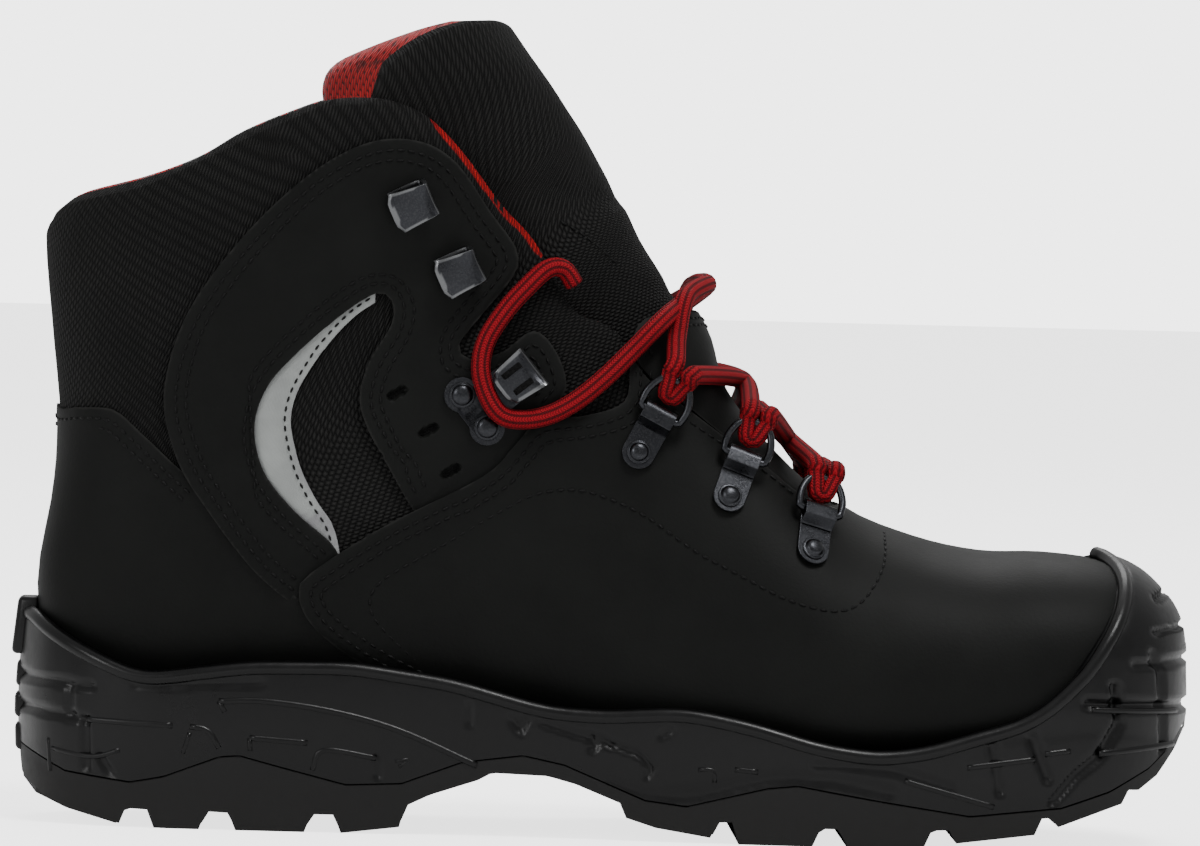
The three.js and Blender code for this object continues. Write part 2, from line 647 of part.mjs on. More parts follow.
// A frame standing on the last: up its tilt, forward, and out of the leather.
function frameOn({ along, up, tilt }, sign, lift) {
  const { place, turn } = findOn(along * length, up * height, sign);
  const out = lastNormal(place, turn);
  const lean = THREE.MathUtils.degToRad(tilt);
  const upward = new THREE.Vector3(Math.sin(lean), 0, Math.cos(lean));
  upward.addScaledVector(out, -upward.dot(out)).normalize();
  const forward = new THREE.Vector3().crossVectors(upward, out).multiplyScalar(-sign);
  const origin = lastPoint(place, turn).addScaledVector(out, lift);
  const frame = new THREE.Matrix4().makeBasis(forward.multiplyScalar(-sign), upward, out);
  return frame.setPosition(origin);
}

function placed(geometry, frame) {
  return solidOf(geometry.applyMatrix4(frame));
}

// Profile in the plane of up and out, run across the width.
function strap(profile, width) {
  const shape = new THREE.Shape(profile.map(([up, out]) => new THREE.Vector2(up, out)));
  const geometry = new THREE.ExtrudeGeometry(shape, { depth: width, bevelEnabled: false });
  const turned = new THREE.Matrix4().makeBasis(
    new THREE.Vector3(0, 1, 0),
    new THREE.Vector3(0, 0, 1),
    new THREE.Vector3(1, 0, 0),
  );
  geometry.applyMatrix4(turned);
  geometry.translate(-width / 2, 0, 0);
  return geometry;
}

function rivet(radius, rise, up, base) {
  const profile = [
    [0, base], [radius, base], [radius, base + 0.3 * rise],
    [0.6 * radius, base + 0.85 * rise], [0, base + rise],
  ].map(([r, h]) => new THREE.Vector2(r, h));
  const geometry = new THREE.LatheGeometry(profile, 8);
  geometry.rotateX(Math.PI / 2);
  geometry.translate(0, up, 0);
  return geometry;
}

const ringWire = 2;
const plateThick = 0.9;
const plateWidth = 8.6;
const plateLength = 15;
const ringWide = 13.4;
const ringTall = 11.5;
function ringPlate(frame) {
  const fold = ringWire / 2 + gap;
  const top = plateLength - 4;
  const outer = [];
  const inner = [];
  for (let i = 0; i <= 4; i++) {
    const turn = -Math.PI / 2 + (i / 4) * Math.PI;
    const reach = fold + plateThick;
    const middle = plateThick + fold;
    outer.push([top + Math.cos(turn) * reach, middle + Math.sin(turn) * reach]);
    inner.push([top + Math.cos(turn) * fold, middle + Math.sin(turn) * fold]);
  }
  const back = 2 * (plateThick + fold);
  const profile = [
    [-4, 0], ...outer, [top - 3, back], [top - 3.6, plateThick + 0.35],
    [top - 2.7, plateThick + 0.35], [top - 2.2, back - plateThick],
    ...inner.reverse(), [-4, plateThick],
  ];
  return placed(strap(profile, plateWidth), frame).add(
    placed(rivet(3, 1.6, 0, plateThick - 0.1), frame),
  );
}
function ring(frame) {
  const half = ringWide / 2 - ringWire / 2;
  const points = [
    [-half + 0.8, 0, 0], [half - 0.8, 0, 0], [half, 1.2, 0.3], [half, 4.6, 0.9],
    [0.62 * half, ringTall - 3, 1.4], [0, ringTall - ringWire, 1.6],
    [-0.62 * half, ringTall - 3, 1.4], [-half, 4.6, 0.9], [-half, 1.2, 0.3],
  ];
  const centre = plateThick + ringWire / 2 + gap;
  const path = points.map(([x, y, z]) =>
    new THREE.Vector3(x, y + plateLength - 4, z + centre).applyMatrix4(frame));
  return tube(path, ringWire, true, 5, 16);
}
function openHook(frame) {
  const profile = [
    [-4, 0], [4.2, 0], [5.6, 0.8], [6, 2.8], [5.6, 4.8], [4.2, 5.8], [-5.2, 5.9], [-5.5, 5.3],
    [-5.2, 4.8], [3.8, 4.7], [4.8, 3.9], [5, 2.8], [4.8, 1.8], [3.8, 1.1], [-4, 1.1],
  ];
  return placed(strap(profile, 9.5), frame).add(placed(rivet(2.6, 1.4, -1, 1), frame));
}
function lockHook(frame) {
  const profile = [
    [-4, 0], [17.6, 0], [19, 0.9], [19.4, 3.6], [19, 6.5], [17.6, 7.5], [8.8, 7.4], [8.3, 6.8],
    [8.7, 6.2], [17.2, 6.3], [18.2, 5.4], [18.4, 3.6], [18.2, 1.9], [17.2, 1], [-4, 1],
  ];
  const arm = strap(profile, 9.6);
  const bar = new THREE.Shape();
  bar.absarc(-5.3, 0, 4.4, 0.3 * Math.PI, 1.7 * Math.PI, false);
  bar.absarc(5.3, 0, 4.4, 1.3 * Math.PI, 2.7 * Math.PI, false);
  const base = new THREE.ExtrudeGeometry(bar, {
    depth: 1, bevelEnabled: false, curveSegments: 4,
  });
  const heads = [-5.3, 5.3].map((x) => {
    const head = rivet(3.4, 1.6, 0, 0.9);
    head.translate(x, 0, 0);
    return placed(head, frame);
  });
  return placed(arm, frame).add(placed(base, frame)).add(heads[0]).add(heads[1]);
}

// Lace: a bar at the toe end, two crossings over the flap, and two loose ends.
const besideLace = laceWidth / 2 + 0.25;
function ringMouth(row, sign, reach, toToe) {
  const frame = frameOn(row, sign, overlay + 0.6);
  const rise = plateLength - 4 + ringTall - ringWire / 2 + reach;
  const out = plateThick + ringWire / 2 + gap + 1.6;
  return new THREE.Vector3(-sign * toToe * besideLace, rise, out).applyMatrix4(frame);
}
// A point over the crown of the last, square to its top line.
function overCrown(x, z, lift) {
  let best = 7;
  const top = (place) => lastPoint(place, Math.PI);
  for (let place = 7; place < 14; place += 0.05)
    if (Math.hypot(top(place).x - x, top(place).z - z) < Math.hypot(top(best).x - x, top(best).z - z))
      best = place;
  return top(best).addScaledVector(lastNormal(best, Math.PI), lift);
}
// One strand from a ring to one across the foot. A bar sits at the toe side of its rings.
function strand(from, fromSign, to, toSign, lift, bar = false) {
  const toToe = (row, other) => (bar || row.along < other.along ? 1 : -1);
  const start = ringMouth(from, fromSign, 0.5, toToe(from, to));
  const end = ringMouth(to, toSign, 0.5, toToe(to, from));
  const middle = overCrown((start.x + end.x) / 2, (start.z + end.z) / 2, lift);
  middle.y = (start.y + end.y) / 2;
  const points = [
    start,
    ringMouth(from, fromSign, 2.5, toToe(from, to)),
    middle,
    ringMouth(to, toSign, 2.5, toToe(to, from)),
    end,
  ];
  return tube(points, laceWidth, false, 6, 10);
}
const [ringTop, ringMiddle, ringToe] = ringPlates;
const laceBar = strand(ringToe, -1, ringToe, 1, laceWidth / 2 + 3.5, true);
const crossing = (a, b) => strand(a, -1, b, 1, laceWidth / 2 + 1.8)
  .add(strand(b, -1, a, 1, laceWidth / 2 + 1.8));
const crownRow = laceWay[1];
function laceEnd(sign) {
  const points = [ringMouth(ringTop, -sign, 0.5, -1), ringMouth(ringTop, -sign, 3, -1)];
  for (const row of laceWay) {
    const slip = sign > 0 ? row.slip : 0;
    const x = row.along * length + 0.44 * slip;
    const { place, turn } = findOn(x, row.up * height - 0.9 * slip, row.side * sign);
    const lift = row.lift + (sign < 0 ? row.over : 0);
    points.push(lastPoint(place, turn).addScaledVector(lastNormal(place, turn), lift));
    if (row === crownRow) points.push(overCrown(x, row.up * height - 0.9 * slip, row.lift));
  }
  return tube(points, laceWidth, false, 6, 36);
}

const group = new THREE.Group();
// Facets flatter than this are merged.
const facetTolerance = 0.1;
function part(name, solid, colour, roughness, metalness) {
  const mesh = solid.simplify(facetTolerance).getMesh();
  const stride = mesh.numProp;
  const places = new Float32Array((mesh.vertProperties.length / stride) * 3);
  for (let i = 0; i < places.length; i++)
    places[i] = mesh.vertProperties[Math.floor(i / 3) * stride + (i % 3)];
  const geometry = new THREE.BufferGeometry();
  geometry.setAttribute("position", new THREE.BufferAttribute(places, 3));
  geometry.setIndex(new THREE.BufferAttribute(new Uint32Array(mesh.triVerts), 1));
  geometry.computeVertexNormals();
  const material = new THREE.MeshStandardMaterial({ color: colour, roughness, metalness });
  const made = new THREE.Mesh(geometry, material);
  made.name = name;
  group.add(made);
}

part("outsole", outsole, 0x1b1b1c, 0.55, 0);
part("midsole", midsole, 0x222224, 0.4, 0);
part("upper", upper, 0x2a2b2a, 0.6, 0);
part("insole", insole, 0x3a3a3a, 0.9, 0);
part("tongue", tongue, 0x262626, 0.85, 0);
part("heel_counter", counter, 0x2a2b2a, 0.6, 0);
part("lace_bar", laceBar, 0xb01f24, 0.85, 0);
part("lace_cross_1", crossing(ringToe, ringMiddle), 0xb01f24, 0.85, 0);
part("lace_cross_2", crossing(ringMiddle, ringTop), 0xb01f24, 0.85, 0);
part("tongue_flap", flap, 0x2a2b2a, 0.6, 0);
for (const { name, sign } of sides) {
  part(`ankle_panel_${name}`, ankleBoth.intersect(halfRoom(sign)), 0x2a2b2a, 0.6, 0);
  part(`reflector_${name}`, crescentBoth.intersect(halfRoom(sign)), 0xb4b8ba, 0.35, 0.2);
  for (const row of ringPlates) {
    const frame = frameOn(row, sign, overlay + 0.6);
    part(`ring_plate_${name}_${row.name}`, ringPlate(frame), 0x3c3d42, 0.3, 0.9);
    part(`lace_ring_${name}_${row.name}`, ring(frame), 0x3c3d42, 0.25, 0.9);
  }
  for (const row of openHooks) {
    const frame = frameOn(row, sign, overlay + 2.2 * gap);
    part(`lace_hook_${name}_${row.name}`, openHook(frame), 0x3c3d42, 0.3, 0.9);
  }
  const lockFrame = frameOn(lockingHook, sign, overlay + 2.2 * gap);
  part(`locking_hook_${name}`, lockHook(lockFrame), 0x3c3d42, 0.3, 0.9);
  part(`lace_end_${name}`, laceEnd(sign), 0xb01f24, 0.85, 0);
}

export default group;
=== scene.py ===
import math
import bpy
import bmesh
import numpy as np
from mathutils import Matrix, Vector
from mathutils.bvhtree import BVHTree


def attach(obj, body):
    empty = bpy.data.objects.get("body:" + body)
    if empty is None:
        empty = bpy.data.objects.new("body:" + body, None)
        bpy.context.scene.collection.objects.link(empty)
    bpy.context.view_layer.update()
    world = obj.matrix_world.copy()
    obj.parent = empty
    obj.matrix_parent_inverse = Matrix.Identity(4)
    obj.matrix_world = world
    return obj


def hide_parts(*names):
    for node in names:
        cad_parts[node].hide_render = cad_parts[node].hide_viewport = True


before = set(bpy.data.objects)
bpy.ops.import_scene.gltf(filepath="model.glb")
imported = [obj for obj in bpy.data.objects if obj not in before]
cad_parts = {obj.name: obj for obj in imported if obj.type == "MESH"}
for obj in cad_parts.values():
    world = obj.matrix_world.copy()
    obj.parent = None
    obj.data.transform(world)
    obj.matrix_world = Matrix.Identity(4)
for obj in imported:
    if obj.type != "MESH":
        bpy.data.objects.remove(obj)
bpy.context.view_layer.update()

# Sizes of the shoe in millimetres. The toe points to +X, the inner side is -Y.
shoe = {"length": 305.0, "height": 213.0, "ballWidth": 100.0, "sideShift": -0.0237,
        "wall": 2.2, "collarPad": 5.2, "overlay": 1.2, "gap": 0.3}
mm = 0.001
innerSide, outerSide = -1, 1
sideNames = {innerSide: "inner", outerSide: "outer"}

# Sections of the last from the toe tip to above the collar:
# topX topZ lowX lowZ mid half widest foot crown ridge
lastSections = np.array([
    (0.485, 0.242, 0.485, 0.183, -0.08, 0.035, 0.45, 2.3, 2.3, 0),
    (0.481, 0.271, 0.482, 0.156, -0.078, 0.135, 0.44, 2.5, 2.4, 0),
    (0.472, 0.296, 0.472, 0.134, -0.07, 0.235, 0.42, 2.7, 2.4, 0),
    (0.452, 0.325, 0.452, 0.119, -0.055, 0.325, 0.4, 3, 2.5, 0),
    (0.421, 0.341, 0.421, 0.114, -0.034, 0.4, 0.38, 3.2, 2.5, -0.01),
    (0.375, 0.348, 0.375, 0.104, -0.01, 0.45, 0.36, 3.2, 2.4, -0.02),
    (0.321, 0.348, 0.321, 0.096, 0.01, 0.48, 0.34, 3.2, 2.3, -0.03),
    (0.262, 0.365, 0.262, 0.091, 0.022, 0.496, 0.32, 3.2, 2.2, -0.035),
    (0.203, 0.4, 0.203, 0.089, 0.027, 0.5, 0.3, 3.2, 2.1, -0.04),
    (0.141, 0.477, 0.148, 0.089, 0.026, 0.484, 0.3, 3.2, 2.1, -0.04),
    (0.103, 0.545, 0.072, 0.091, 0.022, 0.448, 0.32, 3.2, 2.15, -0.03),
    (0.088, 0.611, -0.026, 0.106, 0.016, 0.41, 0.36, 3.2, 2.3, -0.02),
    (0.061, 0.681, -0.144, 0.125, 0.01, 0.386, 0.42, 3.1, 2.4, -0.01),
    (0.039, 0.73, -0.275, 0.131, 0.005, 0.37, 0.48, 3, 2.5, 0),
    (0.025, 0.77, -0.387, 0.131, 0, 0.363, 0.5, 3, 2.6, 0),
    (0.011, 0.8, -0.458, 0.17, 0, 0.36, 0.5, 3, 2.6, 0),
    (-0.002, 0.831, -0.478, 0.282, 0, 0.363, 0.5, 2.9, 2.6, 0),
    (-0.016, 0.864, -0.467, 0.404, 0, 0.38, 0.5, 2.8, 2.6, 0),
    (-0.034, 0.901, -0.465, 0.488, 0, 0.405, 0.5, 2.7, 2.6, 0),
    (-0.056, 0.944, -0.473, 0.596, 0, 0.42, 0.5, 2.6, 2.5, 0),
    (-0.077, 0.988, -0.48, 0.7, 0, 0.43, 0.5, 2.6, 2.5, 0),
    (-0.102, 1.038, -0.482, 0.798, 0, 0.43, 0.5, 2.6, 2.5, 0),
    (-0.131, 1.099, -0.475, 0.901, 0, 0.425, 0.5, 2.6, 2.5, 0)], dtype=float)
lastPlace = len(lastSections) - 1


def smooth(value):
    t = np.clip(value, 0, 1)
    return t * t * (3 - 2 * t)


def blendOf(a, b, t):
    return a + (b - a) * t


def sectionAt(place):
    place = np.clip(np.asarray(place, dtype=float), 0, lastPlace)
    i = np.clip(np.floor(place).astype(int), 0, lastPlace - 1)
    t = (place - i)[..., None]
    rows = lastSections
    a, b, c, d = rows[np.maximum(i - 1, 0)], rows[i], rows[i + 1], rows[np.minimum(i + 2, lastPlace)]
    return b + 0.5 * t * (c - a + t * (2 * a - 5 * b + 4 * c - d + t * (3 * (b - c) + d - a)))


def shareAt(rows, turn):
    c, s = np.cos(turn), np.sin(turn)
    under = c > 0
    power = 2 / np.where(under, rows[..., 7], rows[..., 8])
    reach = np.abs(c) ** power
    widest = rows[..., 6]
    rise = np.where(under, widest * (1 - reach), widest + (1 - widest) * reach)
    return rise, np.sign(s) * np.abs(s) ** power


# A point of the last: a turn of 0 is under the foot or behind the heel, half a turn on top.
def lastPoint(place, turn):
    rows = sectionAt(place)
    rise, across = shareAt(rows, turn)
    x = blendOf(rows[..., 2], rows[..., 0], rise) * shoe["length"]
    y = (rows[..., 4] + rows[..., 9] * rise ** 2 + rows[..., 5] * across + shoe["sideShift"])
    z = blendOf(rows[..., 3], rows[..., 1], rise) * shoe["height"]
    return np.stack([x, y * shoe["ballWidth"], z], axis=-1)


def lastNormal(place, turn, step=0.02):
    place, turn = np.asarray(place, dtype=float), np.asarray(turn, dtype=float)
    ahead, behind = np.minimum(place + step, lastPlace), np.maximum(place - step, 0)
    along = lastPoint(ahead, turn) - lastPoint(behind, turn)
    around = lastPoint(place, turn + step) - lastPoint(place, turn - step)
    normal = np.cross(along, around)
    return normal / np.maximum(np.linalg.norm(normal, axis=-1, keepdims=True), 1e-9)


def wallAt(place, turn):
    rows = sectionAt(place)
    rise = shareAt(rows, turn)[0]
    z = blendOf(rows[..., 3], rows[..., 1], rise)
    back = 0.3 + 0.7 * smooth((0.93 - rise) / 0.2)
    return shoe["wall"] + shoe["collarPad"] * smooth((z - 0.43) / 0.16) * back


# Section and turn of a place that is given in the side view, in millimetres.
def findOn(x, z, side):
    x, z = np.asarray(x, dtype=float), np.asarray(z, dtype=float)
    low, high = np.zeros_like(x), np.full_like(x, lastPlace)

    def across(place):
        rows = sectionAt(place)
        startX, startZ = rows[..., 2] * shoe["length"], rows[..., 3] * shoe["height"]
        runX = rows[..., 0] * shoe["length"] - startX
        runZ = rows[..., 1] * shoe["height"] - startZ
        return rows, runX, runZ, x - startX, z - startZ
    for _ in range(36):
        middle = (low + high) / 2
        rows, runX, runZ, offX, offZ = across(middle)
        ahead = runX * offZ - runZ * offX > 0
        low, high = np.where(ahead, middle, low), np.where(ahead, high, middle)
    rows, runX, runZ, offX, offZ = across(low)
    rise = (offX * runX + offZ * runZ) / (runX ** 2 + runZ ** 2)
    widest = rows[..., 6]
    under = rise < widest
    reach = np.clip(np.where(under, 1 - rise / widest, (rise - widest) / (1 - widest)), 0, 1)
    c = reach ** (np.where(under, rows[..., 7], rows[..., 8]) / 2)
    return low, side * np.arccos(np.where(under, c, -c))


def onLast(place, turn, depth):
    normal = lastNormal(place, turn)
    return lastPoint(place, turn) + normal * np.asarray(depth)[..., None]


# A smooth run of points through an open line, about one step apart.
def smoothLine(line, step=2.5, closed=False):
    points = np.array(line, dtype=float)
    count = len(points)
    out = []
    for i in range(count if closed else count - 1):
        if closed:
            a, b, c, d = (points[(i + n) % count] for n in (-1, 0, 1, 2))
        else:
            b, c = points[i], points[i + 1]
            a = points[i - 1] if i else 2 * b - c
            d = points[i + 2] if i + 2 < count else 2 * c - b
        parts = max(1, int(round(np.linalg.norm(c - b) / step)))
        for n in range(parts):
            t = n / parts
            out.append(b + 0.5 * t * (c - a + t * (2 * a - 5 * b + 4 * c - d + t * (3 * (b - c) + d - a))))
    if not closed:
        out.append(points[-1])
    return np.array(out)


def sized(line):
    return np.array(line, dtype=float) * (shoe["length"], shoe["height"])


def resampled(points, step):
    points = np.asarray(points, dtype=float)
    run = np.concatenate([[0], np.cumsum(np.linalg.norm(np.diff(points, axis=0), axis=1))])
    count = max(2, int(round(run[-1] / step)) + 1)
    at = np.linspace(0, run[-1], count)
    return np.stack([np.interp(at, run, points[:, i]) for i in range(points.shape[1])], axis=1)


# Side view lines of the shoe: along in shoe lengths, up in shoe heights.
lines = {
    "rim": [(0.408, 0.362), (0.425, 0.346), (0.437, 0.327), (0.438, 0.305), (0.431, 0.275), (0.416, 0.238),
            (0.399, 0.2), (0.377, 0.168), (0.351, 0.147), (0.315, 0.133), (0.275, 0.114), (0.233, 0.106),
            (0.184, 0.115), (0.125, 0.139), (0.069, 0.154), (0, 0.147), (-0.049, 0.151), (-0.127, 0.181),
            (-0.213, 0.198), (-0.298, 0.196), (-0.367, 0.182), (-0.39, 0.177), (-0.413, 0.19),
            (-0.452, 0.215), (-0.479, 0.238), (-0.5, 0.265)],
    "seam": [(-0.511, 0.108), (-0.489, 0.09), (-0.454, 0.065), (-0.398, 0.055), (-0.369, 0.063),
             (-0.322, 0.089), (-0.305, 0.091), (-0.275, 0.08), (-0.215, 0.059), (-0.168, 0.062),
             (-0.117, 0.09), (-0.066, 0.1), (-0.031, 0.09), (0.037, 0.05), (0.072, 0.044), (0.14, 0.069),
             (0.165, 0.073), (0.234, 0.057), (0.311, 0.041), (0.388, 0.053), (0.43, 0.074),
             (0.464, 0.102), (0.485, 0.132), (0.511, 0.19)],
    "tread": [(-0.515, 0.08), (-0.498, 0.061), (-0.478, 0.034), (-0.452, 0.02), (-0.408, 0.004),
              (-0.402, 0.023), (-0.382, 0.022), (-0.376, 0), (-0.338, 0), (-0.332, 0.022), (-0.313, 0.021),
              (-0.307, 0), (-0.249, 0), (-0.243, 0.022), (-0.224, 0.022), (-0.218, 0), (-0.169, 0.009),
              (-0.164, 0.035), (-0.144, 0.049), (-0.103, 0.069), (-0.092, 0.078), (-0.045, 0.076),
              (-0.021, 0.067), (0.018, 0.045), (0.022, 0.028), (0.047, 0.017), (0.093, 0.007),
              (0.099, 0.026), (0.111, 0.027), (0.117, 0), (0.178, 0), (0.185, 0.022), (0.201, 0.022),
              (0.208, 0), (0.272, 0), (0.279, 0.023), (0.294, 0.024), (0.3, 0.008), (0.366, 0.02),
              (0.372, 0.04), (0.379, 0.041), (0.386, 0.03), (0.44, 0.059), (0.446, 0.076), (0.455, 0.075),
              (0.471, 0.092), (0.486, 0.122), (0.496, 0.146)],
    "collar": [(-0.479, 0.729), (-0.474, 0.749), (-0.457, 0.763), (-0.403, 0.783), (-0.355, 0.809),
               (-0.315, 0.843), (-0.274, 0.869), (-0.242, 0.885), (-0.21, 0.889), (-0.182, 0.884),
               (-0.153, 0.865), (-0.125, 0.825), (-0.093, 0.765), (-0.064, 0.721), (-0.038, 0.656),
               (-0.025, 0.635), (-0.007, 0.627), (0.01, 0.61), (0.02, 0.575), (0.033, 0.553), (0.065, 0.521),
               (0.094, 0.49), (0.133, 0.451), (0.162, 0.419), (0.187, 0.405), (0.216, 0.401)],
    "vamp": [(-0.13, 0.155), (-0.1526, 0.173), (-0.1837, 0.1917), (-0.2184, 0.2198), (-0.241, 0.2436),
             (-0.2541, 0.2675), (-0.258, 0.292), (-0.249, 0.313), (-0.19, 0.37), (-0.106, 0.434),
             (-0.08, 0.471), (-0.06, 0.501), (-0.018, 0.511), (0.012, 0.528), (0.016, 0.57)],
    "tongue": [(0.23, 0.352), (0.164, 0.394), (0.1, 0.451), (0.033, 0.51), (-0.033, 0.585),
               (-0.098, 0.67), (-0.151, 0.751), (-0.19, 0.822), (-0.216, 0.873), (-0.21, 0.925),
               (-0.187, 0.953), (-0.151, 0.981), (-0.118, 0.999)],
    "counter": [(-0.449, 0.505), (-0.418, 0.504), (-0.395, 0.478), (-0.366, 0.441), (-0.345, 0.415),
                (-0.31, 0.36), (-0.275, 0.3), (-0.235, 0.262), (-0.19, 0.225), (-0.13, 0.18)],
    "ankle": [(-0.256, 0.268), (-0.274, 0.287), (-0.3, 0.32), (-0.335, 0.383), (-0.362, 0.444),
              (-0.375, 0.521), (-0.363, 0.603),
              (-0.338, 0.669), (-0.297, 0.743), (-0.25, 0.804), (-0.205, 0.837), (-0.165, 0.837),
              (-0.135, 0.812), (-0.107, 0.757), (-0.083, 0.71), (-0.084, 0.678), (-0.11, 0.629),
              (-0.128, 0.593), (-0.119, 0.576), (-0.093, 0.584), (-0.066, 0.611), (-0.046, 0.585),
              (-0.037, 0.543), (-0.051, 0.515)],
    "window": [(-0.2235, 0.332), (-0.2335, 0.352), (-0.264, 0.388), (-0.29, 0.434), (-0.299, 0.488),
               (-0.289, 0.538), (-0.262, 0.584), (-0.226, 0.63), (-0.2, 0.654), (-0.187, 0.646),
               (-0.186, 0.617), (-0.204, 0.57), (-0.211, 0.526), (-0.203, 0.488), (-0.186, 0.446),
               (-0.169, 0.404)],
    "crescent": [(-0.2, 0.642), (-0.216, 0.626), (-0.235, 0.597), (-0.251, 0.565), (-0.264, 0.53),
                 (-0.2685, 0.498), (-0.265, 0.468), (-0.258, 0.436), (-0.245, 0.401), (-0.232, 0.375),
                 (-0.2265, 0.353)],
    "flap": [(0.226, 0.408), (0.187, 0.409), (0.163, 0.424), (0.135, 0.456), (0.097, 0.494), (0.068, 0.525),
             (0.037, 0.557), (0.024, 0.58), (0.02, 0.606), (0.03, 0.63), (0.06, 0.64), (0.08, 0.637)]}


# Meshes. A sheet starts flat, with one unit of the plan about a millimetre on the last.
plan = {"place": 10.0, "turn": 38.0}


def flatSheet(outline, cell, insets=(), cuts=()):
    bm = bmesh.new()
    corners = []
    for point in outline:
        if not corners or (Vector(point) - corners[-1].co).length > 0.05:
            corners.append(bm.verts.new(point))
    if (corners[0].co - corners[-1].co).length < 0.05:
        bm.verts.remove(corners.pop())
    face = bm.faces.new(corners)
    face.normal_update()
    for thickness in insets:
        bmesh.ops.inset_region(bm, faces=[face], thickness=thickness, use_even_offset=False,
                                use_boundary=True)
    for axis in (0, 1):
        values = [v.co[axis] for v in bm.verts]
        start, end = min(values), max(values)
        count = max(1, int((end - start) / cell))
        normal = (1, 0, 0) if axis == 0 else (0, 1, 0)
        spots = [start + (end - start) * n / count for n in range(1, count)]
        for value in spots + [cut[axis] for cut in cuts]:
            spot = [0, 0, 0]
            spot[axis] = value
            bmesh.ops.bisect_plane(bm, geom=bm.verts[:] + bm.edges[:] + bm.faces[:], dist=0.04,
                                   plane_co=spot, plane_no=normal)
    bmesh.ops.remove_doubles(bm, verts=bm.verts, dist=0.03)
    bmesh.ops.triangulate(bm, faces=[f for f in bm.faces if len(f.verts) > 4])
    return bm


def meshPoints(bm):
    return np.array([v.co for v in bm.verts], dtype=float)


def setPoints(bm, points):
    for vert, point in zip(bm.verts, points):
        vert.co = point


# Distance of each point to the nearest one of a set, in blocks so that memory stays small.
def distanceTo(points, targets, block=2000):
    out = np.empty(len(points))
    for i in range(0, len(points), block):
        gap = points[i:i + block, None, :] - targets[None, :, :]
        out[i:i + block] = np.sqrt((gap ** 2).sum(axis=-1).min(axis=1))
    return out


# Arc lengths on the last from its side and its toe, for weaves that keep their pitch.
arcPlaces = np.linspace(0, lastPlace, 111)
arcTurns = np.linspace(-math.pi, math.pi, 121)
gridPoints = lastPoint(arcPlaces[:, None], arcTurns[None, :])
stepAround = np.linalg.norm(np.diff(gridPoints, axis=1), axis=-1)
stepAlong = np.linalg.norm(np.diff(gridPoints, axis=0), axis=-1)
arcAround = np.concatenate([np.zeros((len(arcPlaces), 1)), np.cumsum(stepAround, axis=1)], axis=1)
arcAround -= arcAround[:, [60]]
arcAlong = np.concatenate([np.zeros((1, len(arcTurns))), np.cumsum(stepAlong, axis=0)], axis=0)


def arcAt(place, turn):
    turn = (np.asarray(turn) + math.pi) % (2 * math.pi) - math.pi
    i = np.clip(place / lastPlace * 110, 0, 109.999)
    j = np.clip((turn + math.pi) / (2 * math.pi) * 120, 0, 119.999)
    i0, j0 = i.astype(int), j.astype(int)
    u, v = i - i0, j - j0

    def sample(table):
        low = table[i0, j0] * (1 - v) + table[i0, j0 + 1] * v
        high = table[i0 + 1, j0] * (1 - v) + table[i0 + 1, j0 + 1] * v
        return low * (1 - u) + high * u
    return sample(arcAround), sample(arcAlong)


# Makes the finished object of a bmesh whose places are in millimetres.
def finishPiece(bm, name, materials, replaced=(), uv=None, edge=None, smoothFaces=True):
    mesh = bpy.data.meshes.new(name)
    bmesh.ops.scale(bm, vec=(mm, mm, mm), verts=bm.verts)
    bm.to_mesh(mesh)
    bm.free()
    piece = bpy.data.objects.new(name, mesh)
    bpy.context.scene.collection.objects.link(piece)
    for material in materials:
        mesh.materials.append(material)
    if smoothFaces:
        mesh.shade_smooth()
    if edge is not None:
        layer = mesh.attributes.new("edge", "FLOAT", "POINT")
        layer.data.foreach_set("value", np.asarray(edge, dtype=np.float32))
    if uv is not None:
        layer = mesh.uv_layers.new(name="arc")
        corners = np.empty(len(mesh.loops), dtype=np.int32)
        mesh.loops.foreach_get("vertex_index", corners)
        layer.data.foreach_set("uv", np.asarray(uv, dtype=np.float32)[corners].ravel())
    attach(piece, "root")
    if replaced:
        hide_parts(*replaced)
    return piece


def addModifier(piece, kind, **settings):
    modifier = piece.modifiers.new(kind.title(), kind)
    for key, value in settings.items():
        setattr(modifier, key, value)
    return modifier


# Rounds the edges that turn by more than an angle.
def bevelEdges(piece, width, degrees=50, segments=3):
    addModifier(piece, "BEVEL", width=width * mm, segments=segments, limit_method="ANGLE",
                angle_limit=math.radians(degrees))


def joined(bms):
    whole = bmesh.new()
    for bm in bms:
        mesh = bpy.data.meshes.new("part")
        bm.to_mesh(mesh)
        bm.free()
        whole.from_mesh(mesh)
        bpy.data.meshes.remove(mesh)
    return whole


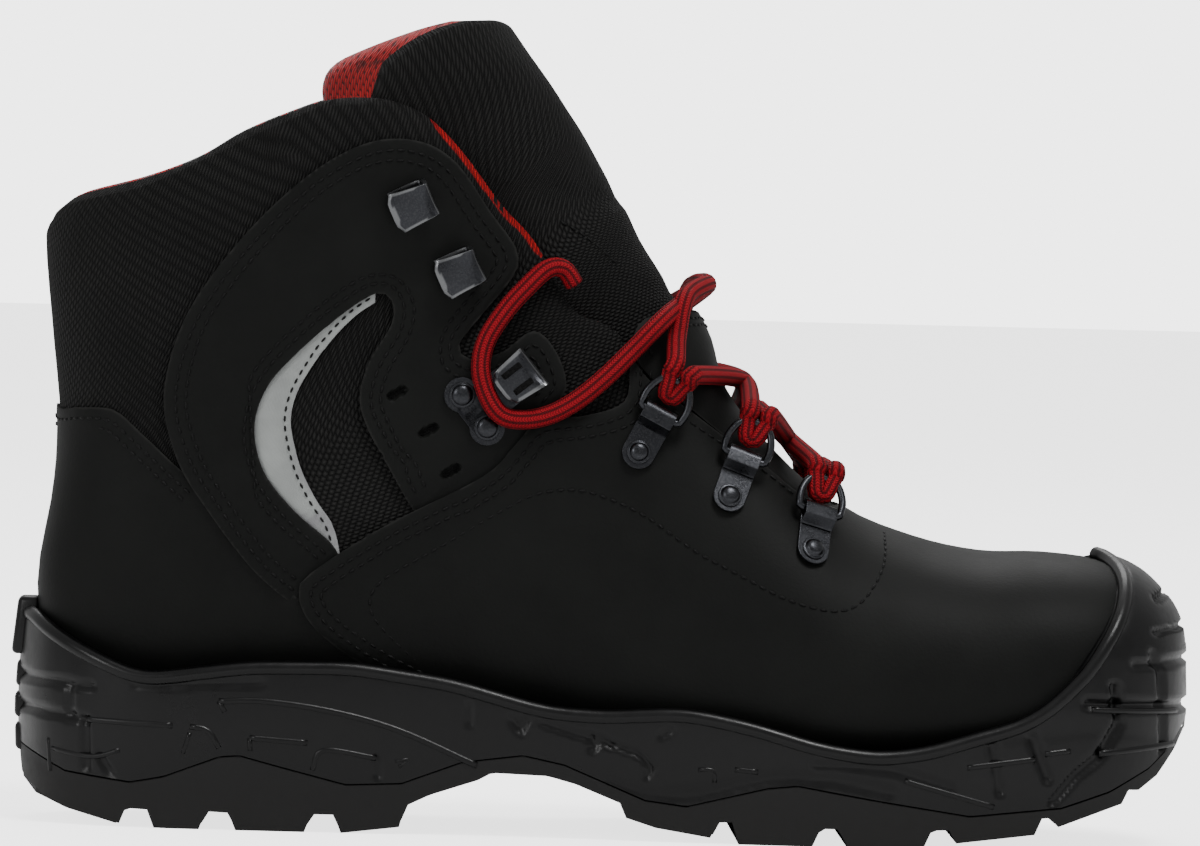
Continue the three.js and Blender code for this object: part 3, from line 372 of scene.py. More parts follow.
# Shader values: a wire is a socket that can be used in sums.
class Wire:
    def __init__(self, tree, socket=None):
        self.tree, self.socket = tree, socket

    def node(self, kind, inputs=None, output=0, **settings):
        made = self.tree.nodes.new(kind)
        for key, value in settings.items():
            if key == "stops":
                ramp = made.color_ramp
                for n, (spot, colour) in enumerate(value):
                    stop = ramp.elements[n] if n < 2 else ramp.elements.new(spot)
                    stop.position, stop.color = spot, (*colour, 1)
            else:
                setattr(made, key, value)
        for key, value in (inputs or {}).items():
            if isinstance(value, Wire):
                self.tree.links.new(value.socket, made.inputs[key])
            else:
                made.inputs[key].default_value = value
        return Wire(self.tree, made.outputs[output])

    def maths(self, operation, *values, clamp=False):
        inputs = {n: value for n, value in enumerate((self, *values))}
        return self.node("ShaderNodeMath", inputs, operation=operation, use_clamp=clamp)

    def __add__(self, other):
        return self.maths("ADD", other)

    def __sub__(self, other):
        return self.maths("SUBTRACT", other)

    def __mul__(self, other):
        return self.maths("MULTIPLY", other)

    def __truediv__(self, other):
        return self.maths("DIVIDE", other)

    def __rsub__(self, other):
        return (self * -1).maths("ADD", other)

    __radd__, __rmul__ = __add__, __mul__

    # 0 below low, 1 above high.
    def ramp(self, low, high):
        return self.node("ShaderNodeMapRange", {0: self, 1: low, 2: high, 3: 0.0, 4: 1.0}, clamp=True)


def mixColour(wire, factor, first, second):
    def filled(colour):
        return colour if isinstance(colour, Wire) else (*colour, 1)
    return wire.node("ShaderNodeMix", {0: factor, 6: filled(first), 7: filled(second)}, 2, data_type="RGBA")


def newMaterial(name, **constants):
    material = bpy.data.materials.new(name)
    material.use_nodes = True
    tree = material.node_tree
    shader = tree.nodes["Principled BSDF"]
    for key, value in constants.items():
        shader.inputs[key.replace("_", " ")].default_value = value
    start = Wire(tree)
    place = start.node("ShaderNodeTexCoord", output=3)

    def feed(socket, value):
        tree.links.new(value.socket, shader.inputs[socket])

    def bump(height, distance, strength=1.0):
        return start.node("ShaderNodeBump", {"Height": height, "Distance": distance, "Strength": strength})
    return material, start, place, feed, bump


def noise(start, place, scale, detail=3.0, roughness=0.55):
    return start.node("ShaderNodeTexNoise", {"Vector": place, "Scale": scale, "Detail": detail,
                                             "Roughness": roughness})


# A value kept on the piece's vertices.
def marked(start, name):
    return start.node("ShaderNodeAttribute", output=2, attribute_name=name)


# One axis of a vector: 0 is x, 1 is y and 2 is z.
def axisOf(start, vector, n):
    return start.node("ShaderNodeSeparateXYZ", {0: vector}, n)


# Leather: oiled and matt, with a fine grain, worn patches at random and a grey raw edge.
leatherFinish = {"black": (0.0022, 0.0024, 0.0021), "worn": (0.005, 0.0054, 0.0048),
                 "raw": (0.016, 0.016, 0.015), "grain": 1150, "pore": 2600}


def makeLeather(name):
    look = leatherFinish
    material, start, place, feed, bump = newMaterial(name, Specular_IOR_Level=0.12)
    broad = noise(start, place, 26, 4).ramp(0.38, 0.68)
    cloud = noise(start, place, 95, 3).ramp(0.35, 0.7)
    fine = noise(start, place, look["pore"], 2)
    grain = start.node("ShaderNodeTexVoronoi", {"Vector": place, "Scale": look["grain"]}, feature="SMOOTH_F1")
    edge = marked(start, "edge")
    tone = mixColour(start, broad * 0.6 + cloud * 0.25, look["black"], look["worn"])
    rawEdge = 1 - edge.ramp(0.25, 0.75)
    feed("Base Color", mixColour(start, rawEdge * 0.75, tone, look["raw"]))
    feed("Roughness", broad * 0.08 + fine * 0.1 + rawEdge * 0.2 + 0.5)
    height = grain * 0.6 + fine * 0.5
    feed("Normal", bump(height, 0.00009, 0.55))
    return material


# Height of a coarse weave of raised dots, from the arc lengths of the piece in millimetres.
def weaveHeight(start, pitch, skew=0.0):
    uv = start.node("ShaderNodeUVMap", uv_map="arc")
    across = axisOf(start, uv, 0)
    up = axisOf(start, uv, 1)
    u = (across + up * skew) / pitch
    v = (up - across * skew) / pitch
    brick = u + v.maths("FLOOR") * 0.5
    warp = (brick * math.pi).maths("SINE").maths("ABSOLUTE")
    weft = (v * math.pi).maths("SINE").maths("ABSOLUTE")
    return (warp * weft).maths("POWER", 0.75)


# Dark and light of the weaves: the dark is painted shade in the pits between the threads. Red wraps the
# collar's front edge, black hems the lining.
pitShade = (0.0003, 0.0003, 0.0003)
collarRed = ((0.12, 0.002, 0.003), (0.42, 0.007, 0.009))
hemBlack = (pitShade, (0.017, 0.017, 0.016))


def makeCloth(name, dark, light, pitch, depth, roughness=0.85, skew=0.0):
    material, start, place, feed, bump = newMaterial(name, Specular_IOR_Level=0.14)
    height = weaveHeight(start, pitch, skew)
    fuzz = noise(start, place, 3800, 3)
    patch = noise(start, place, 60, 3).ramp(0.3, 0.75)
    lined = marked(start, "lined").ramp(0.42, 0.56)
    # The weave's colour follows its height: darker in the pits between threads, painted shade.
    weave = mixColour(start, height * (patch * 0.35 + 0.65) + (fuzz - 0.5) * 0.3, dark, light)
    red = mixColour(start, height, *collarRed)
    feed("Base Color", mixColour(start, lined, weave, red))
    feed("Roughness", fuzz * 0.15 + (roughness - 0.1))
    feed("Normal", bump(height + fuzz * 0.3, depth, 0.9))
    return material


# Red lining: an open mesh with dark dots between its threads, painted shade in its openings.
def makeMesh(name):
    material, start, place, feed, bump = newMaterial(name, Specular_IOR_Level=0.3, Sheen_Weight=0.2)
    height = weaveHeight(start, 1.5, 0.5)
    # Dots: painted shade where the weave is low, between the threads.
    dots = height.ramp(0.16, 0.42)
    patch = noise(start, place, 70, 3).ramp(0.35, 0.7)
    bright = mixColour(start, patch, (0.33, 0.004, 0.006), (0.46, 0.012, 0.012))
    blotch = noise(start, place, 260, 2).ramp(0.56, 0.64)
    cells = mixColour(start, blotch * 0.8, bright, (0.03, 0.004, 0.004))
    hem = marked(start, "hem").ramp(0.42, 0.56)
    weave = mixColour(start, dots, (0.05, 0.002, 0.003), cells)
    black = mixColour(start, height, *hemBlack)
    feed("Base Color", mixColour(start, hem, weave, black))
    feed("Roughness", patch * 0.1 + 0.75)
    feed("Normal", bump(height, 0.0004, 0.9))
    return material


def makeFilm(name):
    material, start, place, feed, bump = newMaterial(name, Metallic=0.35, Specular_IOR_Level=0.6)
    height = weaveHeight(start, 0.55)
    patch = noise(start, place, 120, 3).ramp(0.3, 0.75)
    speck = noise(start, place, 5200, 2)
    edge = marked(start, "edge")
    base = mixColour(start, patch * 0.6 + speck * 0.25, (0.2, 0.21, 0.205), (0.3, 0.315, 0.305))
    feed("Base Color", mixColour(start, 1 - edge.ramp(0.1, 0.8), base, (0.2, 0.2, 0.205)))
    feed("Roughness", speck * 0.16 + patch * 0.08 + 0.34)
    feed("Normal", bump(height * 0.6 + speck * 0.4, 0.00006, 0.7))
    return material


def makeRubber(name, dark, dusty, roughness, dust):
    material, start, place, feed, bump = newMaterial(name, Specular_IOR_Level=0.27)
    broad = noise(start, place, 32, 4).ramp(0.35, 0.7)
    cloud = noise(start, place, 240, 4).ramp(0.4, 0.75)
    fine = noise(start, place, 2400, 2)
    low = axisOf(start, place, 2).ramp(0.028, 0.002)
    feed("Base Color", mixColour(start, broad * 0.35 + cloud * 0.25 + low * dust, dark, dusty))
    feed("Roughness", broad * 0.1 + cloud * 0.08 + fine * 0.06 + low * dust * 0.3 + roughness)
    feed("Normal", bump(fine * 0.4 + cloud * 0.6, 0.00007, 0.5))
    return material


def makeMetal(name, dark, bright, roughness):
    material, start, place, feed, bump = newMaterial(name, Metallic=1.0)
    broad = noise(start, place, 210, 3).ramp(0.35, 0.7)
    scratch = noise(start, place, 2200, 4).ramp(0.45, 0.66)
    edge = marked(start, "edge")
    worn = 1 - edge.ramp(0.1, 0.6)
    feed("Base Color", mixColour(start, worn * 0.65 + scratch * 0.08, dark, bright))
    feed("Roughness", broad * 0.12 + scratch * 0.1 + roughness)
    feed("Normal", bump(scratch * 0.15 + broad, 0.00004, 0.3))
    return material


# Lace: a round braid, v runs along it in millimetres and u once round it.
# dark is painted shade in the grooves between the braid's rows; light, set by the fibre fuzz and the strand
# crowns, is partly a painted highlight.
laceFinish = {"red": (0.2, 0.0025, 0.007), "light": (0.3, 0.006, 0.012), "dark": (0.016, 0.0015, 0.0025),
              "rows": 8, "stitch": 1.5}


def makeBraid(name):
    look = laceFinish
    material, start, place, feed, bump = newMaterial(name, Specular_IOR_Level=0.12)
    uv = start.node("ShaderNodeUVMap", uv_map="arc")
    u = axisOf(start, uv, 0) * look["rows"]
    v = axisOf(start, uv, 1) / look["stitch"]
    side = (u.maths("FRACT") - 0.5).maths("ABSOLUTE") * 2
    chevron = (v * 2 + side * 0.9).maths("FRACT")
    rib = (side * math.pi * 0.5).maths("COSINE").maths("ABSOLUTE")
    strand = (chevron * math.pi).maths("SINE")
    # Painted shade in the grooves between rows, and below a darker red in the grooves between strands.
    dark = side.ramp(0.5, 0.72) * (strand * 0.55 + 0.45)
    fuzz = noise(start, place, 3600, 3)
    red = mixColour(start, fuzz.ramp(0.35, 0.7) * 0.6 + strand * 0.3, look["red"], look["light"])
    shade = mixColour(start, 1 - strand.ramp(0.0, 0.4), red, (0.09, 0.002, 0.004))
    feed("Base Color", mixColour(start, dark * 0.93, shade, look["dark"]))
    feed("Roughness", fuzz * 0.15 + 0.68)
    feed("Normal", bump(strand * 0.7 + rib * 0.5 + fuzz * 0.2, 0.0004, 0.9))
    return material


def makeThread(name):
    material, start, place, feed, bump = newMaterial(name, Specular_IOR_Level=0.15)
    twist = start.node("ShaderNodeTexWave", {"Vector": place, "Scale": 1400.0, "Distortion": 2.0},
                       bands_direction="DIAGONAL")
    feed("Base Color", mixColour(start, twist, (0.0008, 0.0008, 0.0008), (0.006, 0.006, 0.0058)))
    feed("Roughness", twist * 0.15 + 0.5)
    feed("Normal", bump(twist, 0.00008, 0.6))
    return material


finish = {
    "leather": makeLeather("black_leather"),
    "panel": makeLeather("panel_leather"),
    "cloth": makeCloth("collar_cloth", pitShade, (0.0175, 0.0172, 0.0164), 1.55, 0.0009),
    "window": makeCloth("window_cloth", pitShade, (0.011, 0.0108, 0.0102), 1.35, 0.0007),
    "lining": makeMesh("red_lining"),
    "insole": makeCloth("insole_cloth", (0.01, 0.01, 0.011), (0.045, 0.045, 0.048), 1.1, 0.0003),
    "film": makeFilm("reflector_film"),
    "rubber": makeRubber("sole_rubber", (0.0007, 0.0007, 0.0008), (0.002, 0.002, 0.0021), 0.23, 0.1),
    "tread": makeRubber("tread_rubber", (0.0022, 0.0022, 0.0023), (0.0075, 0.0072, 0.0068), 0.4, 0.5),
    "metal": makeMetal("dark_metal", (0.032, 0.033, 0.037), (0.24, 0.245, 0.25), 0.24),
    "braid": makeBraid("lace_braid"),
    "thread": makeThread("black_thread"),
    # Near-black cloth for slots and holes: painted shade in hollows.
    "shade": makeCloth("painted_hollow_shade", pitShade, (0.0012, 0.0012, 0.0012), 1.3, 0.0003),
}
print("finishes made")


def planOf(place, turn):
    return np.stack([place * plan["place"], turn * plan["turn"]], axis=-1)


# Outline points in the plan, from a side view line in shares of the shoe.
def planLine(line, side, step=2.5):
    points = smoothLine(sized(line), step)
    place, turn = findOn(points[:, 0], points[:, 1], side)
    return planOf(place, turn)


def planPoint(place, turn):
    return planOf(np.array([place]), np.array([turn]))


def surfaceOf(flat, depth=0.0):
    place, turn = flat[:, 0] / plan["place"], flat[:, 1] / plan["turn"]
    return onLast(place, turn, np.full(len(place), depth))


# A flat outline cut into cells, laid on the last at a depth that may depend on the distance to its edge.
def lastSheet(outline, cell, depthOf, insets=(), mirrored=False, rim=None, cuts=()):
    bm = flatSheet([(x, y, 0) for x, y in outline], cell, insets, cuts)
    if mirrored:
        bmesh.ops.mirror(bm, geom=bm.verts[:] + bm.edges[:] + bm.faces[:], axis="Y", merge_dist=0.01)
        bmesh.ops.remove_doubles(bm, verts=bm.verts, dist=0.01)
    bm.normal_update()
    bmesh.ops.reverse_faces(bm, faces=[f for f in bm.faces if f.normal.z < 0])
    flat = meshPoints(bm)
    place, turn = flat[:, 0] / plan["place"], flat[:, 1] / plan["turn"]
    border = rim if rim is not None else np.vstack([outline, outline[:1]])
    borderPoints = surfaceOf(resampled(border, 0.7))
    if mirrored:
        borderPoints = np.vstack([borderPoints, surfaceOf(resampled(border * (1, -1), 0.7))])
    edge = distanceTo(lastPoint(place, turn), borderPoints)
    depth = depthOf(place, turn, edge)
    points = onLast(place, turn, depth)
    setPoints(bm, points)
    return bm, place, turn, edge


# Soft folds in the leather: from, to in the side view (mm), width, depth.
folds = [
    {"start": (62, 84), "end": (70, 52), "width": 5.0, "depth": 0.55},
    {"start": (72, 80), "end": (84, 50), "width": 6.0, "depth": 0.5},
    {"start": (84, 78), "end": (97, 55), "width": 6.5, "depth": 0.35},
    {"start": (55, 76), "end": (58, 58), "width": 4.0, "depth": -0.35},
    {"start": (20, 92), "end": (34, 76), "width": 5.0, "depth": 0.5},
    {"start": (14, 104), "end": (30, 96), "width": 4.0, "depth": 0.55},
    {"start": (-4, 104), "end": (8, 84), "width": 6.0, "depth": 0.35},
    {"start": (-72, 62), "end": (-40, 66), "width": 8.0, "depth": 0.4},
    {"start": (-30, 60), "end": (10, 56), "width": 10.0, "depth": 0.45},
    {"start": (96, 66), "end": (120, 60), "width": 8.0, "depth": -0.4},
    {"start": (-140, 92), "end": (-120, 90), "width": 7.0, "depth": 0.35},
    {"start": (-136, 74), "end": (-112, 70), "width": 9.0, "depth": 0.4},
    {"start": (66, 58), "end": (70, 54), "width": 2.0, "depth": 0.35},
    {"start": (69, 60), "end": (73, 55), "width": 2.0, "depth": 0.3},
]


def segmentDistance(points, start, end):
    start, end = np.array(start, dtype=float), np.array(end, dtype=float)
    run = end - start
    share = np.clip(((points - start) @ run) / max(run @ run, 1e-9), 0, 1)
    return np.linalg.norm(points - start - share[:, None] * run, axis=1), share


def foldDepth(points):
    seen = points[:, [0, 2]]
    total = np.zeros(len(points))
    for fold in folds:
        away, share = segmentDistance(seen, fold["start"], fold["end"])
        along = 0.4 + 0.6 * np.sin(np.pi * np.clip(share, 0.08, 0.92))
        total -= fold["depth"] * np.exp(-(away / fold["width"]) ** 2) * along
    wave = np.sin(seen[:, 0] / 13 + 0.8 * np.sin(seen[:, 1] / 17))
    wave *= np.sin(seen[:, 1] / 15 + points[:, 1] / 21)
    return total + 0.16 * wave


# Leather overlay: a top face, its wall below and rounded cut edges.
def leatherPiece(name, outline, top, thick, replaced, mirrored=False, rim=None, cell=3.0,
                 bevel=0.42, material="leather", sunk=None, insets=(0.9, 1.4), cuts=(), holeShadeAt=None):
    def depthOf(place, turn, edge):
        depth = top + 0.35 * foldDepth(lastPoint(place, turn)) - 0.25 * np.exp(-(edge / 1.1) ** 2)
        for row in stitchRows:
            depth = depth - 0.1 * np.exp(-((edge - row) / 0.9) ** 2)
        return depth if sunk is None else depth + sunk(place, turn, edge)
    bm, place, turn, edge = lastSheet(outline, cell, depthOf, insets, mirrored, rim, cuts)
    uv = np.stack(arcAt(place, turn), axis=-1)
    materials = [finish[material]]
    # Faces inside the holes take a near-black cloth: painted shade in the hollow.
    if holeShadeAt:
        materials.append(finish["shade"])
        inside = holeShadeAt(place, turn)
        bm.verts.index_update()
        for face in bm.faces:
            face.material_index = int(all(inside[vert.index] for vert in face.verts))
    piece = finishPiece(bm, name, materials, replaced, uv, edge)
    addModifier(piece, "SOLIDIFY", thickness=thick * mm, offset=-1)
    bevelEdges(piece, bevel)
    return piece


stitchRows = (2.9, 5.4)


# Path parallel to a line on the last, to one side of it, as places and turns.
def beside(flat, away):
    flat = resampled(flat, 0.8)
    place, turn = flat[:, 0] / plan["place"], flat[:, 1] / plan["turn"]
    here = lastPoint(place, turn)
    tangent = np.gradient(here, axis=0)
    tangent /= np.maximum(np.linalg.norm(tangent, axis=1, keepdims=True), 1e-9)
    out = np.cross(lastNormal(place, turn), tangent) * away
    step = 0.02
    alongPlace = (lastPoint(place + step, turn) - lastPoint(place - step, turn)) / (2 * step)
    alongTurn = (lastPoint(place, turn + step) - lastPoint(place, turn - step)) / (2 * step)
    aa, bb = (alongPlace ** 2).sum(1), (alongTurn ** 2).sum(1)
    ab = (alongPlace * alongTurn).sum(1)
    ra, rb = (out * alongPlace).sum(1), (out * alongTurn).sum(1)
    det = np.maximum(aa * bb - ab * ab, 1e-9)
    moved = planOf(place + (ra * bb - rb * ab) / det, turn + (rb * aa - ra * ab) / det)
    clear = distanceTo(surfaceOf(moved), here) > abs(away) * 0.94
    return moved[clear]


stitches = bmesh.new()
stitchSize = {"pitch": 2.8, "length": 2.05, "radius": 0.38}


# Rows of thread along a path on the last, each stitch a small bar.
def sew(flat, depth, pitch=None, size=1.0, sunkBy=None):
    pitch = pitch or stitchSize["pitch"]
    place, turn = flat[:, 0] / plan["place"], flat[:, 1] / plan["turn"]
    depths = np.full(len(place), depth) + (sunkBy(place, turn) if sunkBy else 0)
    depths += 0.35 * foldDepth(lastPoint(place, turn)) - 0.1
    path = resampled(np.hstack([onLast(place, turn, depths), lastNormal(place, turn)]), pitch)
    jumps = np.linalg.norm(np.diff(path[:, :3], axis=0), axis=1)
    for n in range(len(path) - 1):
        if jumps[n] > 1.6 * pitch:
            continue
        a, b = Vector(path[n, :3]), Vector(path[n + 1, :3])
        out = Vector(path[n, 3:] + path[n + 1, 3:]).normalized()
        along = (b - a).normalized()
        half = stitchSize["length"] / 2 * size
        radius = stitchSize["radius"] * size
        side = out.cross(along)
        turnTo = Matrix((along * half, side * radius, out * radius * 0.9)).transposed().to_4x4()
        spot = (a + b) / 2 + out * (radius * 0.35)
        laid = Matrix.Translation(spot) @ turnTo @ Matrix.Rotation(math.pi / 2, 4, "Y")
        bmesh.ops.create_uvsphere(stitches, u_segments=6, v_segments=4, radius=1, matrix=laid)


# Upper: one shell, black cloth outside and red mesh inside, with a padded collar.
upperLook = {"cell": 3.2, "puff": 1.0}
backTop = 20.27
throatPlace = 7.83


def upperShell():
    collarHalf = planLine(lines["collar"], outerSide, 2.2)
    bottom = planLine([(-0.43, 0.15), (-0.36, 0.14), (-0.2, 0.135), (0, 0.13), (0.2, 0.12), (0.35, 0.12),
                       (0.43, 0.15), (0.47, 0.17)], outerSide, 6)
    rim = np.vstack([planPoint(backTop, 0.0), collarHalf[1:], planPoint(throatPlace, math.pi)])
    outline = np.vstack([planPoint(15.1, 0.0), rim, planPoint(0.4, math.pi), bottom[::-1]])

    def shell(inside):
        bm = flatSheet([(x, y, 0) for x, y in outline], upperLook["cell"], (1.1, 1.3, 1.6, 2.0))
        bmesh.ops.mirror(bm, geom=bm.verts[:] + bm.edges[:] + bm.faces[:], axis="Y", merge_dist=0.01)
        bmesh.ops.remove_doubles(bm, verts=bm.verts, dist=0.01)
        bm.normal_update()
        bmesh.ops.reverse_faces(bm, faces=[f for f in bm.faces if f.normal.z < 0])
        flat = meshPoints(bm)
        place, turn = flat[:, 0] / plan["place"], flat[:, 1] / plan["turn"]
        onSeam = (np.abs(np.abs(turn) - math.pi) < 1e-3) & (place < throatPlace - 0.02)
        boundary = np.array([v.is_boundary for v in bm.verts]) & ~onSeam
        here = lastPoint(place, turn)
        rimLine = surfaceOf(resampled(rim, 0.7))
        rimBoth = np.vstack([rimLine, surfaceOf(resampled(rim * (1, -1), 0.7))])
        edge = distanceTo(here, rimBoth)
        edge[boundary & (edge < 1.2)] = 0
        thick = wallAt(place, turn)
        middle = thick / 2
        turned = np.sqrt(1 - (1 - np.clip(edge / (middle * 1.15), 0, 1)) ** 2)
        turned[boundary] = 0
        high = smooth((here[:, 2] / shoe["height"] - 0.6) / 0.15)
        puff = upperLook["puff"] * high * np.sin(np.pi * np.clip(edge / 34, 0, 1)) ** 1.3
        wander = here[:, 0] / 11 + 1.3 * np.sin(here[:, 2] / 14)
        ripple = 0.35 * high * np.sin(wander) * np.clip(edge / 12, 0, 1)
        if inside:
            depth = -middle - middle * turned - 0.6 * puff
        else:
            depth = -middle + middle * turned + 0.75 * puff + ripple - 0.02
        setPoints(bm, onLast(place, turn, depth))
        bm.verts.index_update()
        strip = 1 - np.clip((edge - 1.0) / 2.2, 0, 1)
        strip *= smooth((here[:, 0] + 49) / 4) * smooth((here[:, 2] / shoe["height"] - 0.69) / 0.02)
        hem = 1 - np.clip((edge - 3.5) / 2, 0, 1)
        hem *= smooth((here[:, 0] + 116) / 6) * smooth((-44 - here[:, 0]) / 5)
        lined, hemmed = bm.verts.layers.float.new("lined"), bm.verts.layers.float.new("hem")
        for vert in bm.verts:
            vert[lined] = 0.0 if inside else float(strip[vert.index])
            vert[hemmed] = float(hem[vert.index]) if inside else 0.0
        for face in bm.faces:
            face.material_index = int(inside)
        if inside:
            bmesh.ops.reverse_faces(bm, faces=bm.faces[:])
        return bm, place, turn
    outer, placeA, turnA = shell(False)
    inner, placeB, turnB = shell(True)
    whole = joined([outer, inner])
    arcs = np.stack(arcAt(np.concatenate([placeA, placeB]), np.concatenate([turnA, turnB])), axis=-1)
    uvLayer = whole.loops.layers.uv.new("arc")
    whole.verts.index_update()
    for face in whole.faces:
        for loop in face.loops:
            loop[uvLayer].uv = arcs[loop.vert.index]
    bmesh.ops.remove_doubles(whole, verts=whole.verts, dist=0.02)
    return finishPiece(whole, "upper_cloth", [finish["cloth"], finish["lining"]], ["upper"])


upperCloth = upperShell()
print("upper shell made", len(upperCloth.data.polygons))


# How far the top face of each leather stands off the last, where pieces lap.
layers = {"counter": 0.95, "panel": 2.0, "vampRim": 0.9}

# One row of stitches round the facing of the eyelets, in side view millimetres.
facingLine = [(-38, 38.5), (-45.6, 43.2), (-56.3, 52.3), (-60.4, 58.6), (-57.7, 65), (-42.3, 74.5),
              (-26.9, 84), (-19.2, 88.1), (-11.4, 89.6), (-3.6, 89), (9.6, 83.6), (22.8, 74.8), (36, 68.1),
              (46.6, 62.9), (57.1, 60.1), (63.6, 60.8), (68.7, 65.6), (71.9, 72.2), (72.2, 79)]
# The quarter's edge beside the throat, from the rings to the toe, in shares of the shoe.
throatLine = [(0.033, 0.553), (0.065, 0.521), (0.094, 0.49), (0.133, 0.451), (0.162, 0.419), (0.187, 0.405)]


# Vamp and quarters in one leather, from the toe to behind the ankle.
def vampLeather():
    rear = planLine(lines["vamp"], outerSide, 2.2)
    throat = planLine([(0.02, 0.575), *throatLine, (0.214, 0.4)], outerSide, 2.2)
    bottom = planLine([(0.47, 0.17), (0.43, 0.15), (0.35, 0.12), (0.2, 0.115), (0, 0.125), (-0.1, 0.135)],
                      outerSide, 7)
    outline = np.vstack([rear, throat, planPoint(throatPlace, math.pi), planPoint(0.4, math.pi), bottom])
    rim = np.vstack([rear, throat, planPoint(throatPlace, math.pi)])
    lapLine = np.vstack([surfaceOf(planLine(lines["vamp"], side, 1)) for side in (innerSide, outerSide)])

    def lapped(place, turn, edge=None):
        return layers["vampRim"] * np.exp(-(distanceTo(lastPoint(place, turn), lapLine) / 8) ** 2)
    leatherPiece("vamp_leather", outline, shoe["overlay"], 1.25, ["upper"], True, rim, 2.4,
                 sunk=lapped)
    for side in (innerSide, outerSide):
        path = planLine(lines["vamp"], side)
        for row in stitchRows:
            sew(beside(path, row * side), shoe["overlay"], sunkBy=lapped)
        sew(beside(planLine(throatLine, side), 2.6 * side), shoe["overlay"])
        facing = smoothLine(facingLine, 2)
        place, turn = findOn(facing[:, 0], facing[:, 1], side)
        sew(planOf(place, turn), shoe["overlay"] + 0.05)


vampLeather()


def heelCounter():
    topEdge = planLine(lines["counter"], outerSide, 2.2)
    low = planLine([(-0.11, 0.135), (-0.25, 0.14), (-0.35, 0.145), (-0.42, 0.16)], outerSide, 6)
    outline = np.vstack([planPoint(18.18, 0.0), topEdge, low, planPoint(15.2, 0.0)])
    rim = np.vstack([planPoint(18.18, 0.0), topEdge])
    leatherPiece("counter_leather", outline, layers["counter"], 0.9,
                 ["heel_counter"], True, rim, 2.6)
    for side in (innerSide, outerSide):
        for row in stitchRows:
            sew(beside(np.vstack([planPoint(18.18, 0.0), planLine(lines["counter"][:5], side)]), row * side),
                layers["counter"])


heelCounter()


# Slots punched through the panel behind the locking hook, in side view millimetres.
slots = {"at": [(-54.7, 113.5), (-46.4, 104.1), (-40.4, 93.8)], "half": 1.7, "width": 0.85, "tilt": 30}


def slotEnds():
    lean = math.radians(slots["tilt"])
    run = np.array([math.cos(lean), math.sin(lean)]) * slots["half"]
    return [(np.array(spot) - run, np.array(spot) + run) for spot in slots["at"]]


def slotDistance(place, turn):
    seen = lastPoint(place, turn)[:, [0, 2]]
    return np.min([segmentDistance(seen, *ends)[0] for ends in slotEnds()], axis=0)


# Ankle panel: open below its window, where the quarter covers it.
def anklePanel(side):
    outer = planLine(lines["ankle"], side, 2)
    inner = planLine(lines["window"], side, 2)
    tuck = planLine([(-0.085, 0.44), (-0.15, 0.37)], side, 4)
    foot = planLine([(-0.218, 0.29), (-0.232, 0.266), (-0.248, 0.26)], side, 3)
    outline = np.vstack([outer, tuck, inner[::-1], foot])
    top = layers["panel"]
    vampTop = surfaceOf(planLine([(-0.2585, 0.2)] + lines["vamp"][6:-1], side, 1.5))

    def sunk(place, turn, edge):
        seen = lastPoint(place, turn)
        near = distanceTo(seen, vampTop)
        over = seen[:, 2] > np.interp(seen[:, 0], vampTop[:, 0], vampTop[:, 2])
        punched = 1.25 * smooth((slots["width"] + 0.4 - slotDistance(place, turn)) / 0.5)
        return -1.35 * np.where(over, smooth(1 - near / 7), 1.0) - punched
    cuts = []
    for x, z in slots["at"]:
        for step in np.arange(-3.2, 3.3, 0.4):
            for rise in (step, -step):
                place, turn = findOn(x + step, z + rise, side)
                cuts.append(planPoint(place, turn)[0])
    leatherPiece(f"ankle_leather_{sideNames[side]}", outline, top, 1.3,
                 [f"ankle_panel_{sideNames[side]}"], False, outline, 2.6, material="panel", sunk=sunk,
                 cuts=cuts, holeShadeAt=lambda place, turn: slotDistance(place, turn) < slots["width"] + 0.15)
    for path in (outer, inner[::-1]):
        for row in stitchRows:
            line = beside(path, row * side)
            seen = surfaceOf(line)
            lapped = np.interp(seen[:, 0], vampTop[:, 0], vampTop[:, 2]) + 1.0
            shown = (seen[:, 2] > lapped) & (seen[:, 0] > vampTop[0, 0] - 40)
            sew(line[shown], top, sunkBy=lambda p, t: sunk(p, t, None))
    hem = planLine(lines["crescent"], side, 2)
    edgeLine = planLine(lines["window"][:9], side, 2)
    film = np.vstack([edgeLine, hem])
    filmTop = shoe["gap"] + 0.5 * shoe["overlay"]
    leatherPiece(f"reflector_film_{sideNames[side]}", film, filmTop, 0.6,
                 [f"reflector_{sideNames[side]}"], False, film, 1.8, 0.18, "film", insets=())
    sew(beside(hem, 1.7 * side), filmTop, 2.6, 0.8)


for side in (innerSide, outerSide):
    anklePanel(side)
print("leather made")


